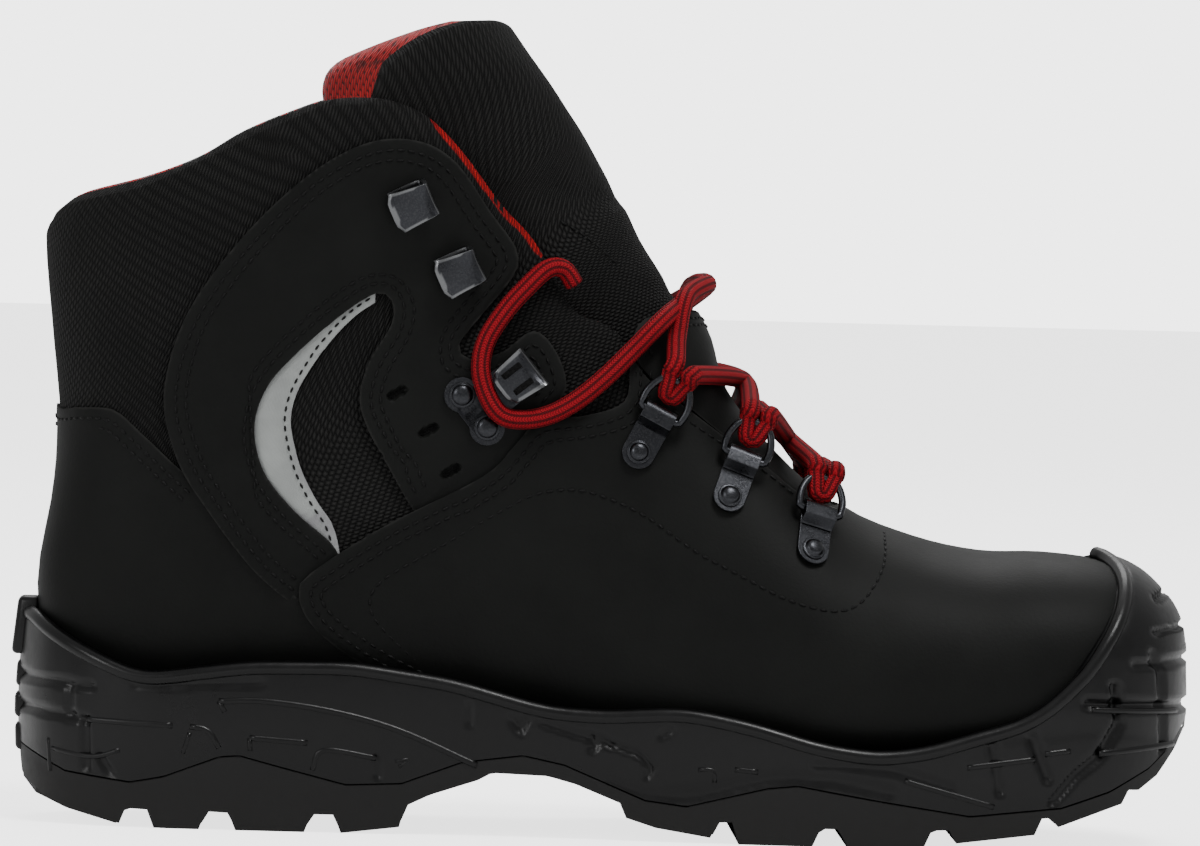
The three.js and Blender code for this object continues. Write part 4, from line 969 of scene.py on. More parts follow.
# A closed pad between an outer and an inner face that meet at its rim.
def padShell(outline, cell, insets, faceOf, onSeamOf):
    sheets, places, turns = [], [], []
    for inside in (False, True):
        bm = flatSheet([(x, y, 0) for x, y in outline], cell, insets)
        bmesh.ops.mirror(bm, geom=bm.verts[:] + bm.edges[:] + bm.faces[:], axis="Y", merge_dist=0.01)
        bmesh.ops.remove_doubles(bm, verts=bm.verts, dist=0.01)
        bm.normal_update()
        bmesh.ops.reverse_faces(bm, faces=[f for f in bm.faces if f.normal.z < 0])
        flat = meshPoints(bm)
        place, turn = flat[:, 0] / plan["place"], flat[:, 1] / plan["turn"]
        boundary = np.array([v.is_boundary for v in bm.verts]) & ~onSeamOf(place, turn)
        setPoints(bm, onLast(place, turn, faceOf(place, turn, boundary, inside)))
        for face in bm.faces:
            face.material_index = int(inside)
        if inside:
            bmesh.ops.reverse_faces(bm, faces=bm.faces[:])
        sheets.append(bm)
        places.append(place)
        turns.append(turn)
    whole = joined(sheets)
    arcs = np.stack(arcAt(np.concatenate(places), np.concatenate(turns)), axis=-1)
    uvLayer = whole.loops.layers.uv.new("arc")
    whole.verts.index_update()
    for face in whole.faces:
        for loop in face.loops:
            loop[uvLayer].uv = arcs[loop.vert.index]
    bmesh.ops.remove_doubles(whole, verts=whole.verts, dist=0.02)
    return whole


# Tongue: a padded strip folded round the instep, black outside and red inside.
tongueLook = {"leather": 3.2, "pad": 4.0, "top": 20.24, "toe": 7.3, "puff": 0.9}


def tonguePad():
    sideLine = planLine(lines["tongue"], outerSide, 2.4)
    rim = np.vstack([sideLine, planPoint(tongueLook["top"], math.pi)])
    outline = np.vstack([rim, planPoint(tongueLook["toe"], math.pi)])
    rimBoth = np.vstack([surfaceOf(resampled(rim, 0.7)), surfaceOf(resampled(rim * (1, -1), 0.7))])

    def faceOf(place, turn, boundary, inside):
        here = lastPoint(place, turn)
        edge = distanceTo(here, rimBoth)
        high = here[:, 2] / shoe["height"]
        thick = tongueLook["leather"] + tongueLook["pad"] * smooth((high - 0.47) / 0.19)
        turned = np.sqrt(1 - (1 - np.clip(edge / (thick / 2), 0, 1)) ** 2)
        turned[boundary] = 0
        top = -(wallAt(place, turn) + shoe["gap"] + 0.1)
        swell = tongueLook["puff"] * smooth((high - 0.68) / 0.1) * np.sin(np.pi * np.clip(edge / 26, 0, 1))
        crease = 0.7 * np.exp(-((high - 0.765 + 0.02 * np.cos(turn)) / 0.012) ** 2) * smooth((edge - 3) / 6)
        crease += 0.5 * np.exp(-((high - 0.7 - 0.03 * np.cos(turn)) / 0.014) ** 2) * smooth((edge - 3) / 6)
        ripple = 0.4 * np.sin(here[:, 2] / 9 + here[:, 1] / 13) * smooth((edge - 2) / 8)
        if inside:
            return top - thick / 2 - thick / 2 * turned - 0.5 * swell
        return top - thick / 2 + thick / 2 * turned + swell * 0.35 - crease + ripple * 0.5

    def onSeam(place, turn):
        return (np.abs(np.abs(turn) - math.pi) < 1e-3) & (place < tongueLook["top"] - 0.02)
    bm = padShell(outline, 3.0, (1.0, 1.2, 1.6), faceOf, onSeam)
    for vert in bm.verts:
        high = float(smooth((vert.co.z - 160) / 34))
        wing = float(smooth((abs(vert.co.y + 2.4) - 3) / 22))
        high *= 1 - 0.8 * float(smooth((vert.co.z - 194) / 16))
        vert.co.x += (4.6 if vert.co.y < -2.4 else -8.6) * high * wing
    finishPiece(bm, "tongue_cloth", [finish["cloth"], finish["lining"]], ["tongue"])
    for side in (innerSide, outerSide):
        seam = planLine([(0.012, 0.7), (-0.02, 0.735), (-0.04, 0.748)], side)
        place, turn = seam[:, 0] / plan["place"], seam[:, 1] / plan["turn"]
        sew(seam, -(wallAt(place, turn).mean() + 0.25))


def tongueFlap():
    hem = planLine(lines["flap"], outerSide, 2.2)
    flapTop = 11.33
    rim = np.vstack([hem, planPoint(flapTop, math.pi)])
    outline = np.vstack([rim, planPoint(7.4, math.pi)])
    leatherPiece("flap_leather", outline, -shoe["gap"], 1.7, ["tongue_flap"], True,
                 rim, 2.2)
    for side in (innerSide, outerSide):
        upperHem = np.vstack([planLine(lines["flap"][7:], side), planPoint(flapTop, side * math.pi)])
        for row in (2.2, 4.2):
            sew(beside(upperHem, row * side), -shoe["gap"])


tonguePad()
tongueFlap()
print("tongue made")


# Sole. Its outline from above, inner and outer edge in ball widths, and the lean of its side.
soleOutline = [(-0.4945, 0, 0), (-0.486, -0.135, 0.135), (-0.464, -0.258, 0.258), (-0.423, -0.345, 0.345),
               (-0.36, -0.39, 0.395), (-0.262, -0.41, 0.425), (-0.148, -0.42, 0.45), (-0.033, -0.445, 0.495),
               (0.082, -0.49, 0.545), (0.197, -0.525, 0.575), (0.295, -0.525, 0.565), (0.367, -0.508, 0.517),
               (0.426, -0.475, 0.42), (0.4655, -0.388, 0.29), (0.4885, -0.27, 0.12), (0.499, -0.08, -0.08)]
soleSide = smoothLine([(-0.01, -0.032, -0.032), (0.03, -0.022, -0.022), (0.07, -0.009, -0.009),
                       (0.12, -0.001, -0.001), (0.17, 0, 0), (0.22, -0.005, -0.018), (0.255, -0.013, -0.06),
                       (0.3, -0.035, -0.13), (0.36, -0.07, -0.25)], 0.006)
toeRubber, toeTopRubber = 4.3, 3.3


def soleLoop():
    inner = [(x, a) for x, a, b in soleOutline]
    outer = [(x, b) for x, a, b in soleOutline[1:-1]][::-1]
    corners = [(x * shoe["length"], (y + shoe["sideShift"]) * shoe["ballWidth"]) for x, y in inner + outer]
    dense = smoothLine(corners, 1.5, True)
    return resampled(np.vstack([dense, dense[:1]]), 1.0)


loop = soleLoop()
loopRun = np.concatenate([[0], np.cumsum(np.linalg.norm(np.diff(loop, axis=0), axis=1))])
tangents = np.roll(loop[:-1], -1, axis=0) - np.roll(loop[:-1], 1, axis=0)
tangents /= np.linalg.norm(tangents, axis=1, keepdims=True)
loopOut = np.stack([tangents[:, 1], -tangents[:, 0]], axis=1)
for _ in range(6):
    loopOut = (np.roll(loopOut, 1, axis=0) + 2 * loopOut + np.roll(loopOut, -1, axis=0)) / 4
loopOut /= np.linalg.norm(loopOut, axis=1, keepdims=True)
loopOut = np.vstack([loopOut, loopOut[:1]])


def loopAt(run):
    point = np.stack([np.interp(run, loopRun, loop[:, i]) for i in (0, 1)], axis=-1)
    out = np.stack([np.interp(run, loopRun, loopOut[:, i]) for i in (0, 1)], axis=-1)
    return point, out


def leanAt(x, z):
    toeShare = smooth((x / shoe["length"] - 0.31) / 0.12)
    up = z / shoe["height"]
    wide = np.interp(up, soleSide[:, 0], soleSide[:, 1])
    toe = np.interp(up, soleSide[:, 0], soleSide[:, 2])
    return blendOf(wide, toe, toeShare) * shoe["ballWidth"]


# Raised bars and pressed grooves on the side of the sole, in side view millimetres.
soleRelief = [
    {"line": [(-98.6, 33.3), (-86.8, 33.6), (-69.3, 31.4), (-52, 26.9), (-32, 18.5)],
     "width": 1.0, "rise": 1.1},
    {"line": [(-98.6, 33.4), (-97, 30.6)], "width": 0.8, "rise": 0.8},
    {"line": [(-132.5, 27.5), (-110.4, 26.7)], "width": 0.95, "rise": 1.1},
    {"line": [(-105.9, 26.6), (-101.2, 25.6), (-98.3, 21.3)], "width": 0.9, "rise": 1.0},
    {"line": [(-107.6, 19.6), (-105.9, 25)], "width": 0.7, "rise": 0.6},
    {"line": [(-90.5, 24.1), (-75.6, 23.2)], "width": 0.95, "rise": 1.1},
    {"line": [(-90.5, 24), (-90.3, 20.8)], "width": 0.8, "rise": 0.7},
    {"line": [(-74.2, 16.2), (-71.4, 21.4), (-57.8, 19.7)], "width": 0.85, "rise": 1.0},
    {"line": [(-57.8, 19.4), (-57.4, 15)], "width": 1.0, "rise": -0.8},
    {"line": [(-53, 19), (-49, 19.6), (-52, 17.6)], "width": 0.5, "rise": 0.5},
    {"line": [(-150, 37.6), (-146.6, 37.3), (-131.7, 36.1)], "width": 0.9, "rise": -1.0},
    {"line": [(-150, 29.8), (-133, 27.6)], "width": 1.0, "rise": -0.9},
    {"line": [(-141.7, 19.4), (-131.3, 17.9), (-124, 19.9)], "width": 0.75, "rise": 0.8},
    {"line": [(-142.6, 13.5), (-142.6, 22)], "width": 0.8, "rise": 0.7},
    {"line": [(-133, 27), (-132.4, 15)], "width": 1.1, "rise": -0.8},
    {"line": [(-129, 18), (-125.5, 12.8)], "width": 1.0, "rise": -0.8},
    {"line": [(-137.2, 35.5), (-137, 28.5)], "width": 0.9, "rise": -0.7},
    {"line": [(-120, 36.6), (-104, 37.6), (-88, 38.4)], "width": 0.7, "rise": -0.5},
    {"line": [(-34.4, 33.6), (-34.2, 29)], "width": 0.5, "rise": -0.8},
    {"line": [(-22.9, 30.5), (-21, 27.6), (-19.6, 30.5)], "width": 0.8, "rise": -1.0},
    {"line": [(-15.5, 30), (-9, 28), (-2.7, 26.2)], "width": 0.6, "rise": -0.7},
    {"line": [(-2.7, 27), (-2.4, 23.2), (0.1, 26.4), (2.2, 24.6)], "width": 0.7, "rise": -1.0},
    {"line": [(2.5, 24.8), (10.1, 22.4), (12.8, 19.1), (11.5, 16.7)], "width": 0.6, "rise": -1.0},
    {"line": [(15, 27.5), (17.5, 29)], "width": 0.5, "rise": -0.6},
    {"line": [(24.8, 19.1), (28.7, 19), (29, 15.9)], "width": 0.7, "rise": 0.8},
    {"line": [(34.1, 19.4), (40.1, 19)], "width": 0.8, "rise": 0.7},
    {"line": [(2, 14.5), (12, 11.6), (26, 13), (44, 17.4), (60, 17.5), (74, 14.5)],
     "width": 1.6, "rise": -0.5},
    {"line": [(77.7, 17.6), (101, 11.4)], "width": 0.9, "rise": 0.9},
    {"line": [(55, 21), (74, 20.5), (90, 16)], "width": 1.1, "rise": -0.5},
    {"line": [(93.7, 21.4), (111.1, 23.9)], "width": 0.9, "rise": 0.9},
    {"line": [(113.7, 25.3), (120.2, 26.2)], "width": 0.9, "rise": 0.9},
    {"line": [(99.8, 28.6), (102.2, 15.4)], "width": 1.1, "rise": -1.0},
    {"line": [(110.2, 29.4), (114.6, 19)], "width": 1.2, "rise": -1.0},
    {"line": [(131.7, 42.7), (132.8, 33.6), (127.8, 25.1), (121.6, 20), (116, 13)],
     "width": 1.2, "rise": -1.1},
    {"line": [(131.2, 43), (132.4, 36)], "width": 0.8, "rise": -0.9},
    {"line": [(141.4, 51.2), (143.9, 46.3), (145.2, 26.8), (143.5, 18)], "width": 0.9, "rise": -1.0},
    {"line": [(142.9, 64.8), (153, 68.6)], "width": 0.8, "rise": -0.9},
    {"line": [(142.3, 56.7), (156, 58.6)], "width": 0.9, "rise": -1.0},
    {"line": [(136.8, 48.3), (156, 49.8)], "width": 0.9, "rise": -1.0},
    {"line": [(124.6, 38.3), (156, 37.5)], "width": 1.2, "rise": -1.2},
    {"line": [(125.5, 36.9), (156, 36)], "width": 0.8, "rise": 0.6},
    {"line": [(127.7, 25.6), (156, 28.5)], "width": 1.0, "rise": 0.9},
]


# Depth of the pressed grooves; the raised bars are made as pieces.
def reliefAt(points):
    seen = points[:, [0, 2]]
    total = np.zeros(len(points))
    for row in soleRelief:
        nearest = np.full(len(points), 99.0)
        for start, end in zip(row["line"][:-1], row["line"][1:]):
            nearest = np.minimum(nearest, segmentDistance(seen, start, end)[0])
        if row["rise"] < 0:
            total += 1.25 * row["rise"] * smooth(1.5 - nearest / row["width"])
    return total


def lineHeight(line, x):
    pairs = sized(line)
    order = np.argsort(pairs[:, 0])
    return np.interp(x, pairs[order, 0], pairs[order, 1])


def rimHeight(x):
    low = sized(lines["rim"][4:])[::-1]
    return np.minimum(np.interp(x, low[:, 0], low[:, 1]), 0.248 * shoe["height"])


# The toe cap's own surface, which the wall swells out to at the toe.
def capDepth(place, turn):
    high = lastPoint(place, turn)[..., 2] / shoe["height"]
    return blendOf(toeRubber, toeTopRubber, smooth((high - 0.26) / 0.07))


def capTree():
    wide = 2 * math.pi * plan["turn"]
    bm = flatSheet([(0, 0, 0), (80, 0, 0), (80, wide, 0), (0, wide, 0)], 2.5)
    flat = meshPoints(bm)
    place, turn = flat[:, 0] / plan["place"], flat[:, 1] / plan["turn"]
    setPoints(bm, onLast(place, turn, capDepth(place, turn)))
    tree = BVHTree.FromBMesh(bm)
    bm.free()
    return tree


capSurface = capTree()


def wallOffset(run, z, skin=0.25):
    point, out = loopAt(run)
    offset = leanAt(point[:, 0], z) + skin
    for n in np.nonzero(point[:, 0] > 0.2 * shoe["length"])[0]:
        start = Vector((point[n, 0] + out[n, 0] * 40, point[n, 1] + out[n, 1] * 40, z[n]))
        hit = capSurface.ray_cast(start, Vector((-out[n, 0], -out[n, 1], 0)), 60)
        if hit[0] is not None:
            reach = 40 - hit[3] + skin
            share = np.clip(0.5 + 0.5 * (offset[n] - reach) / 3, 0, 1)
            offset[n] = reach * (1 - share) + offset[n] * share + 3 * share * (1 - share) * 0.6
    return point, out, offset


# A band of the sole's side between two heights that change along it.
def soleBand(name, lowAt, highAt, cell, material, replaced, relief, skin=0.25):
    runs = np.linspace(0, loopRun[-1], int(loopRun[-1] / 1.6))
    x = loopAt(runs)[0][:, 0]
    lower = np.stack([runs, lowAt(x)], axis=1)
    upper = np.stack([runs, highAt(x)], axis=1)[::-1]
    bm = flatSheet([(a, b, 0) for a, b in np.vstack([lower, upper])], cell)
    flat = meshPoints(bm)
    run, z = flat[:, 0], flat[:, 1]
    point, out, offset = wallOffset(run, z, skin)
    bare = np.column_stack([point + out * offset[:, None], z])
    if relief:
        fade = smooth((highAt(point[:, 0]) - z) / 2.0) * smooth((z - lowAt(point[:, 0])) / 1.6)
        offset = offset + reliefAt(bare) * fade
    setPoints(bm, np.column_stack([point + out * offset[:, None], z]))
    bmesh.ops.remove_doubles(bm, verts=bm.verts, dist=0.02)
    return finishPiece(bm, name, [finish[material]], replaced)


def seamTop(x):
    return lineHeight(lines["seam"], x) + 0.2


soleCell = 0.95
soleBand("midsole_side", seamTop, rimHeight, soleCell, "rubber", ["midsole"], True)
soleBand("outsole_side", lambda x: np.minimum(lineHeight(lines["tread"], x), seamTop(x) - 1.2),
         lambda x: seamTop(x) - 0.5, 2.0, "tread", [], False, 0.15)


def toeCap():
    edgeLine = planLine(lines["rim"][:8], outerSide, 2)
    low = planLine([(0.39, 0.15), (0.42, 0.16), (0.45, 0.18), (0.47, 0.19), (0.48, 0.2)], outerSide, 3)
    start = edgeLine[0] * (1, 0) + (0, math.pi * plan["turn"])
    outline = np.vstack([start[None, :], edgeLine, low, planPoint(0.0, 1.2), planPoint(0.0, math.pi)])
    rim = np.vstack([start[None, :], edgeLine])

    def depthOf(place, turn, edge):
        bare = onLast(place, turn, capDepth(place, turn))
        under = smooth((0.235 * shoe["height"] - bare[:, 2]) / 8) * 1.4
        pressed = reliefAt(bare) * smooth((edge - 2) / 2) - 0.5 * np.exp(-(edge / 1.2) ** 2)
        return capDepth(place, turn) + 0.1 - under + pressed
    bm, place, turn, edge = lastSheet(outline, soleCell * 1.1, depthOf, (), True, rim)
    bmesh.ops.remove_doubles(bm, verts=bm.verts, dist=0.03)
    piece = finishPiece(bm, "toe_cap_face", [finish["rubber"]])
    addModifier(piece, "SOLIDIFY", thickness=0.8 * mm, offset=-1)


toeCap()
print("sole sides made")


# A round tube along points: a circle drawn along the path, with arc lengths for a braid.
def tubeAlong(points, radius, sides=12, closed=False, step=1.6):
    path = smoothLine(points, step, closed)
    if closed:
        path = np.vstack([path, path[:1]])
    count = len(path)
    ahead = np.gradient(path, axis=0)
    if closed:
        ahead[0] = ahead[-1] = path[1] - path[-2]
    bm = bmesh.new()
    axis = Vector(ahead[0]).normalized()
    lift = axis.orthogonal().normalized()
    frames = []
    for n in range(count):
        new = Vector(ahead[n]).normalized()
        lift = (axis.rotation_difference(new) @ lift)
        lift = (lift - new * lift.dot(new)).normalized()
        axis = new
        frames.append((lift.copy(), new.cross(lift)))
    if closed:
        twist = frames[-1][0].angle(frames[0][0])
        if frames[-1][0].cross(frames[0][0]).dot(Vector(ahead[0])) < 0:
            twist = -twist
        for n in range(count):
            turned = Matrix.Rotation(twist * n / (count - 1), 3, Vector(ahead[n]).normalized())
            frames[n] = (turned @ frames[n][0], turned @ frames[n][1])

    def frameAt(n):
        a, b = frames[n]
        turnTo = Matrix((a * radius, b * radius, a.cross(b))).transposed().to_4x4()
        return Matrix.Translation(Vector(path[n])) @ turnTo
    uvLayer = bm.loops.layers.uv.new("arc")
    made = bmesh.ops.create_circle(bm, segments=sides, radius=1, cap_ends=False, matrix=frameAt(0))
    ring = made["verts"]
    for n, vert in enumerate(ring):
        vert.index = n
    edges = list(bm.edges)
    rings = [list(ring)]
    for n in range(1, count):
        grown = bmesh.ops.extrude_edge_only(bm, edges=edges)["geom"]
        fresh = [g for g in grown if isinstance(g, bmesh.types.BMVert)]
        edges = [g for g in grown if isinstance(g, bmesh.types.BMEdge)
                 and g.verts[0] in fresh and g.verts[1] in fresh]
        bmesh.ops.transform(bm, matrix=frameAt(n) @ frameAt(n - 1).inverted(), verts=fresh)
        rings.append(fresh)
    run = np.concatenate([[0], np.cumsum(np.linalg.norm(np.diff(path, axis=0), axis=1))])
    place = {}
    for n, fresh in enumerate(rings):
        back = frameAt(n).inverted()
        for vert in fresh:
            spot = back @ vert.co
            place[vert] = (math.atan2(spot.y, spot.x) / (2 * math.pi) % 1.0, run[n])
    for face in bm.faces:
        spots = [place[loopOf.vert] for loopOf in face.loops]
        wide = max(s[0] for s in spots) - min(s[0] for s in spots) > 0.5
        for loopOf, (u, v) in zip(face.loops, spots):
            loopOf[uvLayer].uv = (u + 1 if wide and u < 0.5 else u, v)
    if closed:
        bmesh.ops.remove_doubles(bm, verts=bm.verts, dist=0.02)
    else:
        for ringEnd in (rings[0], rings[-1]):
            inner = [e for e in bm.edges if e.is_boundary and e.verts[0] in ringEnd and e.verts[1] in ringEnd]
            bmesh.ops.contextual_create(bm, geom=inner)
    bmesh.ops.recalc_face_normals(bm, faces=bm.faces)
    return bm


# Raised bars of the sole's side, each a round cord of rubber sunk partly into the wall.
def soleBars():
    toeTip = int(np.argmax(loop[:, 0]))
    inner, outer = slice(0, toeTip), slice(None, toeTip - 1, -1)
    bars = []
    for along, runs in ((loop[part, 0], loopRun[part]) for part in (inner, outer)):
        for row in soleRelief:
            if row["rise"] < 0:
                continue
            way = resampled(smoothLine(row["line"], 1.5), 1.6)
            way = way[way[:, 0] < along.max() - 2.6]
            point, out, offset = wallOffset(np.interp(way[:, 0], along, runs), way[:, 1])
            laid = np.column_stack([point + out * (offset - 0.55 * row["width"])[:, None], way[:, 1]])
            if len(laid) > 1:
                bars.append(tubeAlong(laid, row["width"], 12, step=1.6))
    finishPiece(joined(bars), "sole_bars", [finish["rubber"]])


soleBars()


# Spine of blocks behind the heel, the top one leaning back against the counter.
heelBlocks = [{"low": 42.5, "high": 57.5, "back": -152.3, "lean": 1.6},
              {"low": 34, "high": 41.2, "back": -151.6, "lean": 0.4},
              {"low": 26, "high": 32.8, "back": -151.9, "lean": 0},
              {"low": 17.5, "high": 24.8, "back": -151.6, "lean": -0.3}]


def heelSpine():
    blocks = []
    for row in heelBlocks:
        bm = bmesh.new()
        bmesh.ops.create_cube(bm, size=1)
        tall = row["high"] - row["low"]
        bmesh.ops.scale(bm, vec=(6, 12, tall), verts=bm.verts)
        for vert in bm.verts:
            vert.co.x += row["lean"] * (vert.co.z / tall)
            vert.co.y *= 1 - 0.15 * (vert.co.x < 0)
        bmesh.ops.bevel(bm, geom=bm.edges, offset=1.5, segments=4, profile=0.5, affect="EDGES", material=-1)
        bmesh.ops.translate(bm, verts=bm.verts, vec=(row["back"] + 3, shoe["sideShift"] * shoe["ballWidth"],
                                                    (row["low"] + row["high"]) / 2))
        blocks.append(bm)
    finishPiece(joined(blocks), "heel_spine", [finish["rubber"]])


heelSpine()


# Bead along the sole's rim, and the ledge from it to the leather.
def rimBead():
    toeTip = int(np.argmax(loop[:, 0]))
    capStart = 0.402 * shoe["length"]
    innerStop = np.interp(capStart, loop[:toeTip, 0], loopRun[:toeTip])
    outerStart = np.interp(-capStart, -loop[toeTip:, 0], loopRun[toeTip:])
    rows, inner = [], []
    for start, end, side in ((0.0, innerStop, innerSide), (outerStart, loopRun[-1], outerSide)):
        run = np.arange(start, end, 4.0)
        z = rimHeight(loopAt(run)[0][:, 0])
        point, out, offset = wallOffset(run, z, 0.2)
        rows.append(np.column_stack([point + out * (offset - 1.0)[:, None], z + 0.3]))
        place, turn = findOn(rows[-1][:, 0], z + 1.4, side)
        inner.append(onLast(place, turn, np.full(len(place), 0.2)))
    arc = smoothLine(sized(lines["rim"][:7]), 3)[::-1]
    toe, toeIn = [], []
    for side in (innerSide, outerSide):
        place, turn = findOn(arc[:, 0], arc[:, 1], side)
        order = 1 if side == innerSide else -1
        toe.append(onLast(place, turn, capDepth(place, turn) - 0.9)[1:-1][::order])
        toeIn.append(onLast(place + 0.25, turn, np.full(len(place), 0.2))[1:-1][::order])
    path = np.vstack([rows[0], toe[0], toe[1], rows[1]])
    pathIn = np.vstack([inner[0], toeIn[0], toeIn[1], inner[1]])
    for _ in range(2):
        path = (np.roll(path, 1, axis=0) + 2 * path + np.roll(path, -1, axis=0)) / 4
    bead = tubeAlong(path, 2.0, 14, True, 2.5)
    finishPiece(bead, "sole_rim_bead", [finish["rubber"]])
    ledge = bmesh.new()
    edges = []
    for ring in (path, pathIn):
        verts = [ledge.verts.new(p) for p in ring]
        edges += [ledge.edges.new((verts[n], verts[(n + 1) % len(verts)])) for n in range(len(verts))]
    bmesh.ops.bridge_loops(ledge, edges=edges)
    bmesh.ops.recalc_face_normals(ledge, faces=ledge.faces)
    piece = finishPiece(ledge, "sole_ledge", [finish["rubber"]])
    addModifier(piece, "SOLIDIFY", thickness=0.8 * mm, offset=0)


rimBead()
print("rim made")


# Hardware, in frames that stand on the leather: across, up its tilt, out.
ringPlates = [{"along": 0.025, "up": 0.467, "tilt": 27.5}, {"along": 0.102, "up": 0.4145, "tilt": 20},
              {"along": 0.172, "up": 0.351, "tilt": 16.5}]
openHooks = {"upper": {"along": -0.175, "up": 0.762, "tilt": 65},
             "lower": {"along": -0.134, "up": 0.681, "tilt": 65}}
lockingHook = {"along": -0.114, "up": 0.513, "tilt": 51}
metal = {"wire": 2.0, "plate": 0.9, "plateWidth": 8.6, "plateLength": 15, "ringWide": 13.4,
         "ringTall": 11.5}


def frameOn(row, side, lift):
    place, turn = findOn(row["along"] * shoe["length"], row["up"] * shoe["height"], side)
    out = Vector(lastNormal(place, turn))
    lean = math.radians(row["tilt"])
    upward = Vector((math.sin(lean), 0, math.cos(lean)))
    upward = (upward - out * upward.dot(out)).normalized()
    sideways = upward.cross(out)
    spot = Vector(lastPoint(place, turn)) + out * lift
    return Matrix.Translation(spot) @ Matrix((sideways, upward, out)).transposed().to_4x4()


# A bent strap: its section in up and out, run across the width.
def strap(profile, width):
    bm = bmesh.new()
    verts = [bm.verts.new((-width / 2, up, out)) for up, out in profile]
    face = bm.faces.new(verts)
    grown = bmesh.ops.extrude_face_region(bm, geom=[face])["geom"]
    bmesh.ops.translate(bm, verts=[g for g in grown if isinstance(g, bmesh.types.BMVert)], vec=(width, 0, 0))
    bmesh.ops.recalc_face_normals(bm, faces=bm.faces)
    bmesh.ops.triangulate(bm, faces=[f for f in bm.faces if len(f.verts) > 4])
    return bm


def plateOf(outline, thick):
    bm = bmesh.new()
    face = bm.faces.new([bm.verts.new((x, y, 0)) for x, y in outline])
    grown = bmesh.ops.extrude_face_region(bm, geom=[face])["geom"]
    bmesh.ops.translate(bm, verts=[g for g in grown if isinstance(g, bmesh.types.BMVert)], vec=(0, 0, thick))
    bmesh.ops.recalc_face_normals(bm, faces=bm.faces)
    return bm


def arcPoints(centre, radius, start, end, steps):
    angles = [math.radians(start + (end - start) * n / steps) for n in range(steps + 1)]
    return [(centre[0] + radius * math.cos(a), centre[1] + radius * math.sin(a)) for a in angles]


# A domed rivet on a washer, spun about its axis.
def rivet(radius, rise, x=0.0, y=0.0, base=0.0):
    profile = [(0, rise), (0.34, rise * 0.97), (0.58, rise * 0.85), (0.74, rise * 0.62), (0.8, rise * 0.34),
               (0.85, rise * 0.28), (0.95, rise * 0.3), (1.0, rise * 0.2), (1.0, 0)]
    bm = bmesh.new()
    verts = [bm.verts.new((r * radius, 0, h)) for r, h in profile]
    edges = [bm.edges.new(pair) for pair in zip(verts[:-1], verts[1:])]
    bmesh.ops.spin(bm, geom=verts + edges, cent=(0, 0, 0), axis=(0, 0, 1), angle=2 * math.pi, steps=28,
                   use_merge=True)
    bmesh.ops.remove_doubles(bm, verts=bm.verts, dist=0.01)
    bmesh.ops.holes_fill(bm, edges=[e for e in bm.edges if e.is_boundary], sides=0)
    bmesh.ops.recalc_face_normals(bm, faces=bm.faces)
    bmesh.ops.translate(bm, verts=bm.verts, vec=(x, y, base))
    return bm


def metalPiece(bms, spot, name, replaced, bevel=0.22, material="metal", wornAt=None):
    bm = joined(bms)
    flat = meshPoints(bm)
    worn = np.full(len(flat), 1.0) if wornAt is None else np.where(wornAt(flat), 0.2, 1.0)
    bmesh.ops.transform(bm, matrix=spot, verts=bm.verts)
    piece = finishPiece(bm, name, [finish[material]], replaced, flat[:, :2], worn)
    if bevel:
        bevelEdges(piece, bevel, 40)
        addModifier(piece, "WEIGHTED_NORMAL")
    return piece


def ringHardware(side, number, row):
    name = sideNames[side]
    spot = frameOn(row, side, shoe["overlay"] + 0.5)
    fold = metal["wire"] / 2 + 0.25
    top = metal["plateLength"] - 4
    thick = metal["plate"]
    half = metal["plateWidth"] / 2
    middle = thick + fold
    outer = arcPoints((top, middle), fold + thick, -90, 90, 10)
    inner = arcPoints((top, middle), fold, 90, -90, 10)
    back = 2 * middle
    lip = [(top - 2.8, back), (top - 3.9, thick + 0.9), (top - 4.4, thick + 0.3),
           (top - 3.4, thick + 0.3), (top - 2.2, back - thick)]
    profile = [(6.4, 0)] + outer + lip + inner + [(6.4, thick)]
    base = plateOf(arcPoints((0, 0), half, 180, 360, 14) + [(half, 7), (-half, 7)], thick)
    metalPiece([strap(profile, metal["plateWidth"]), base, rivet(3.1, 2.0, base=thick - 0.05)], spot,
               f"ring_plate_metal_{name}_{number}", [f"ring_plate_{name}_{number}"])
    wide = metal["ringWide"] / 2 - metal["wire"] / 2
    tall = metal["ringTall"]
    centre = thick + metal["wire"] / 2 + 0.3
    points = [(-wide + 0.8, 0, 0), (0, 0, 0), (wide - 0.8, 0, 0), (wide, 1.2, 0.3), (wide, 4.6, 0.9),
              (0.66 * wide, tall - 3, 1.4), (0, tall - metal["wire"], 1.6), (-0.66 * wide, tall - 3, 1.4),
              (-wide, 4.6, 0.9), (-wide, 1.2, 0.3)]
    ring = tubeAlong([(x, y + top, z + centre) for x, y, z in points], metal["wire"] / 2, 12, True, 0.8)
    metalPiece([ring], spot, f"ring_metal_{name}_{number}", [f"lace_ring_{name}_{number}"], 0)


# Squeezes a strap's width by a share along its length, and curls its corners out.
def shapeHead(bm, start, end, wide, narrow, curl):
    for vert in bm.verts:
        share = float(np.clip((vert.co.y - start) / (end - start), 0, 1))
        if vert.co.z > 3.2:
            corner = float(smooth((abs(vert.co.x) - 2.4) / 3)) * (1 - float(smooth(share / 0.35)))
            vert.co.y += 1.3 * corner
            vert.co.x *= wide + (narrow - wide) * share
            vert.co.z += curl * share ** 3 * (abs(vert.co.x) / 5) ** 2
            vert.co.z -= 0.9 * (1 - share) ** 2
            vert.co.z -= 0.5 * (abs(vert.co.x) / 5) ** 2 * (1 - share ** 2)


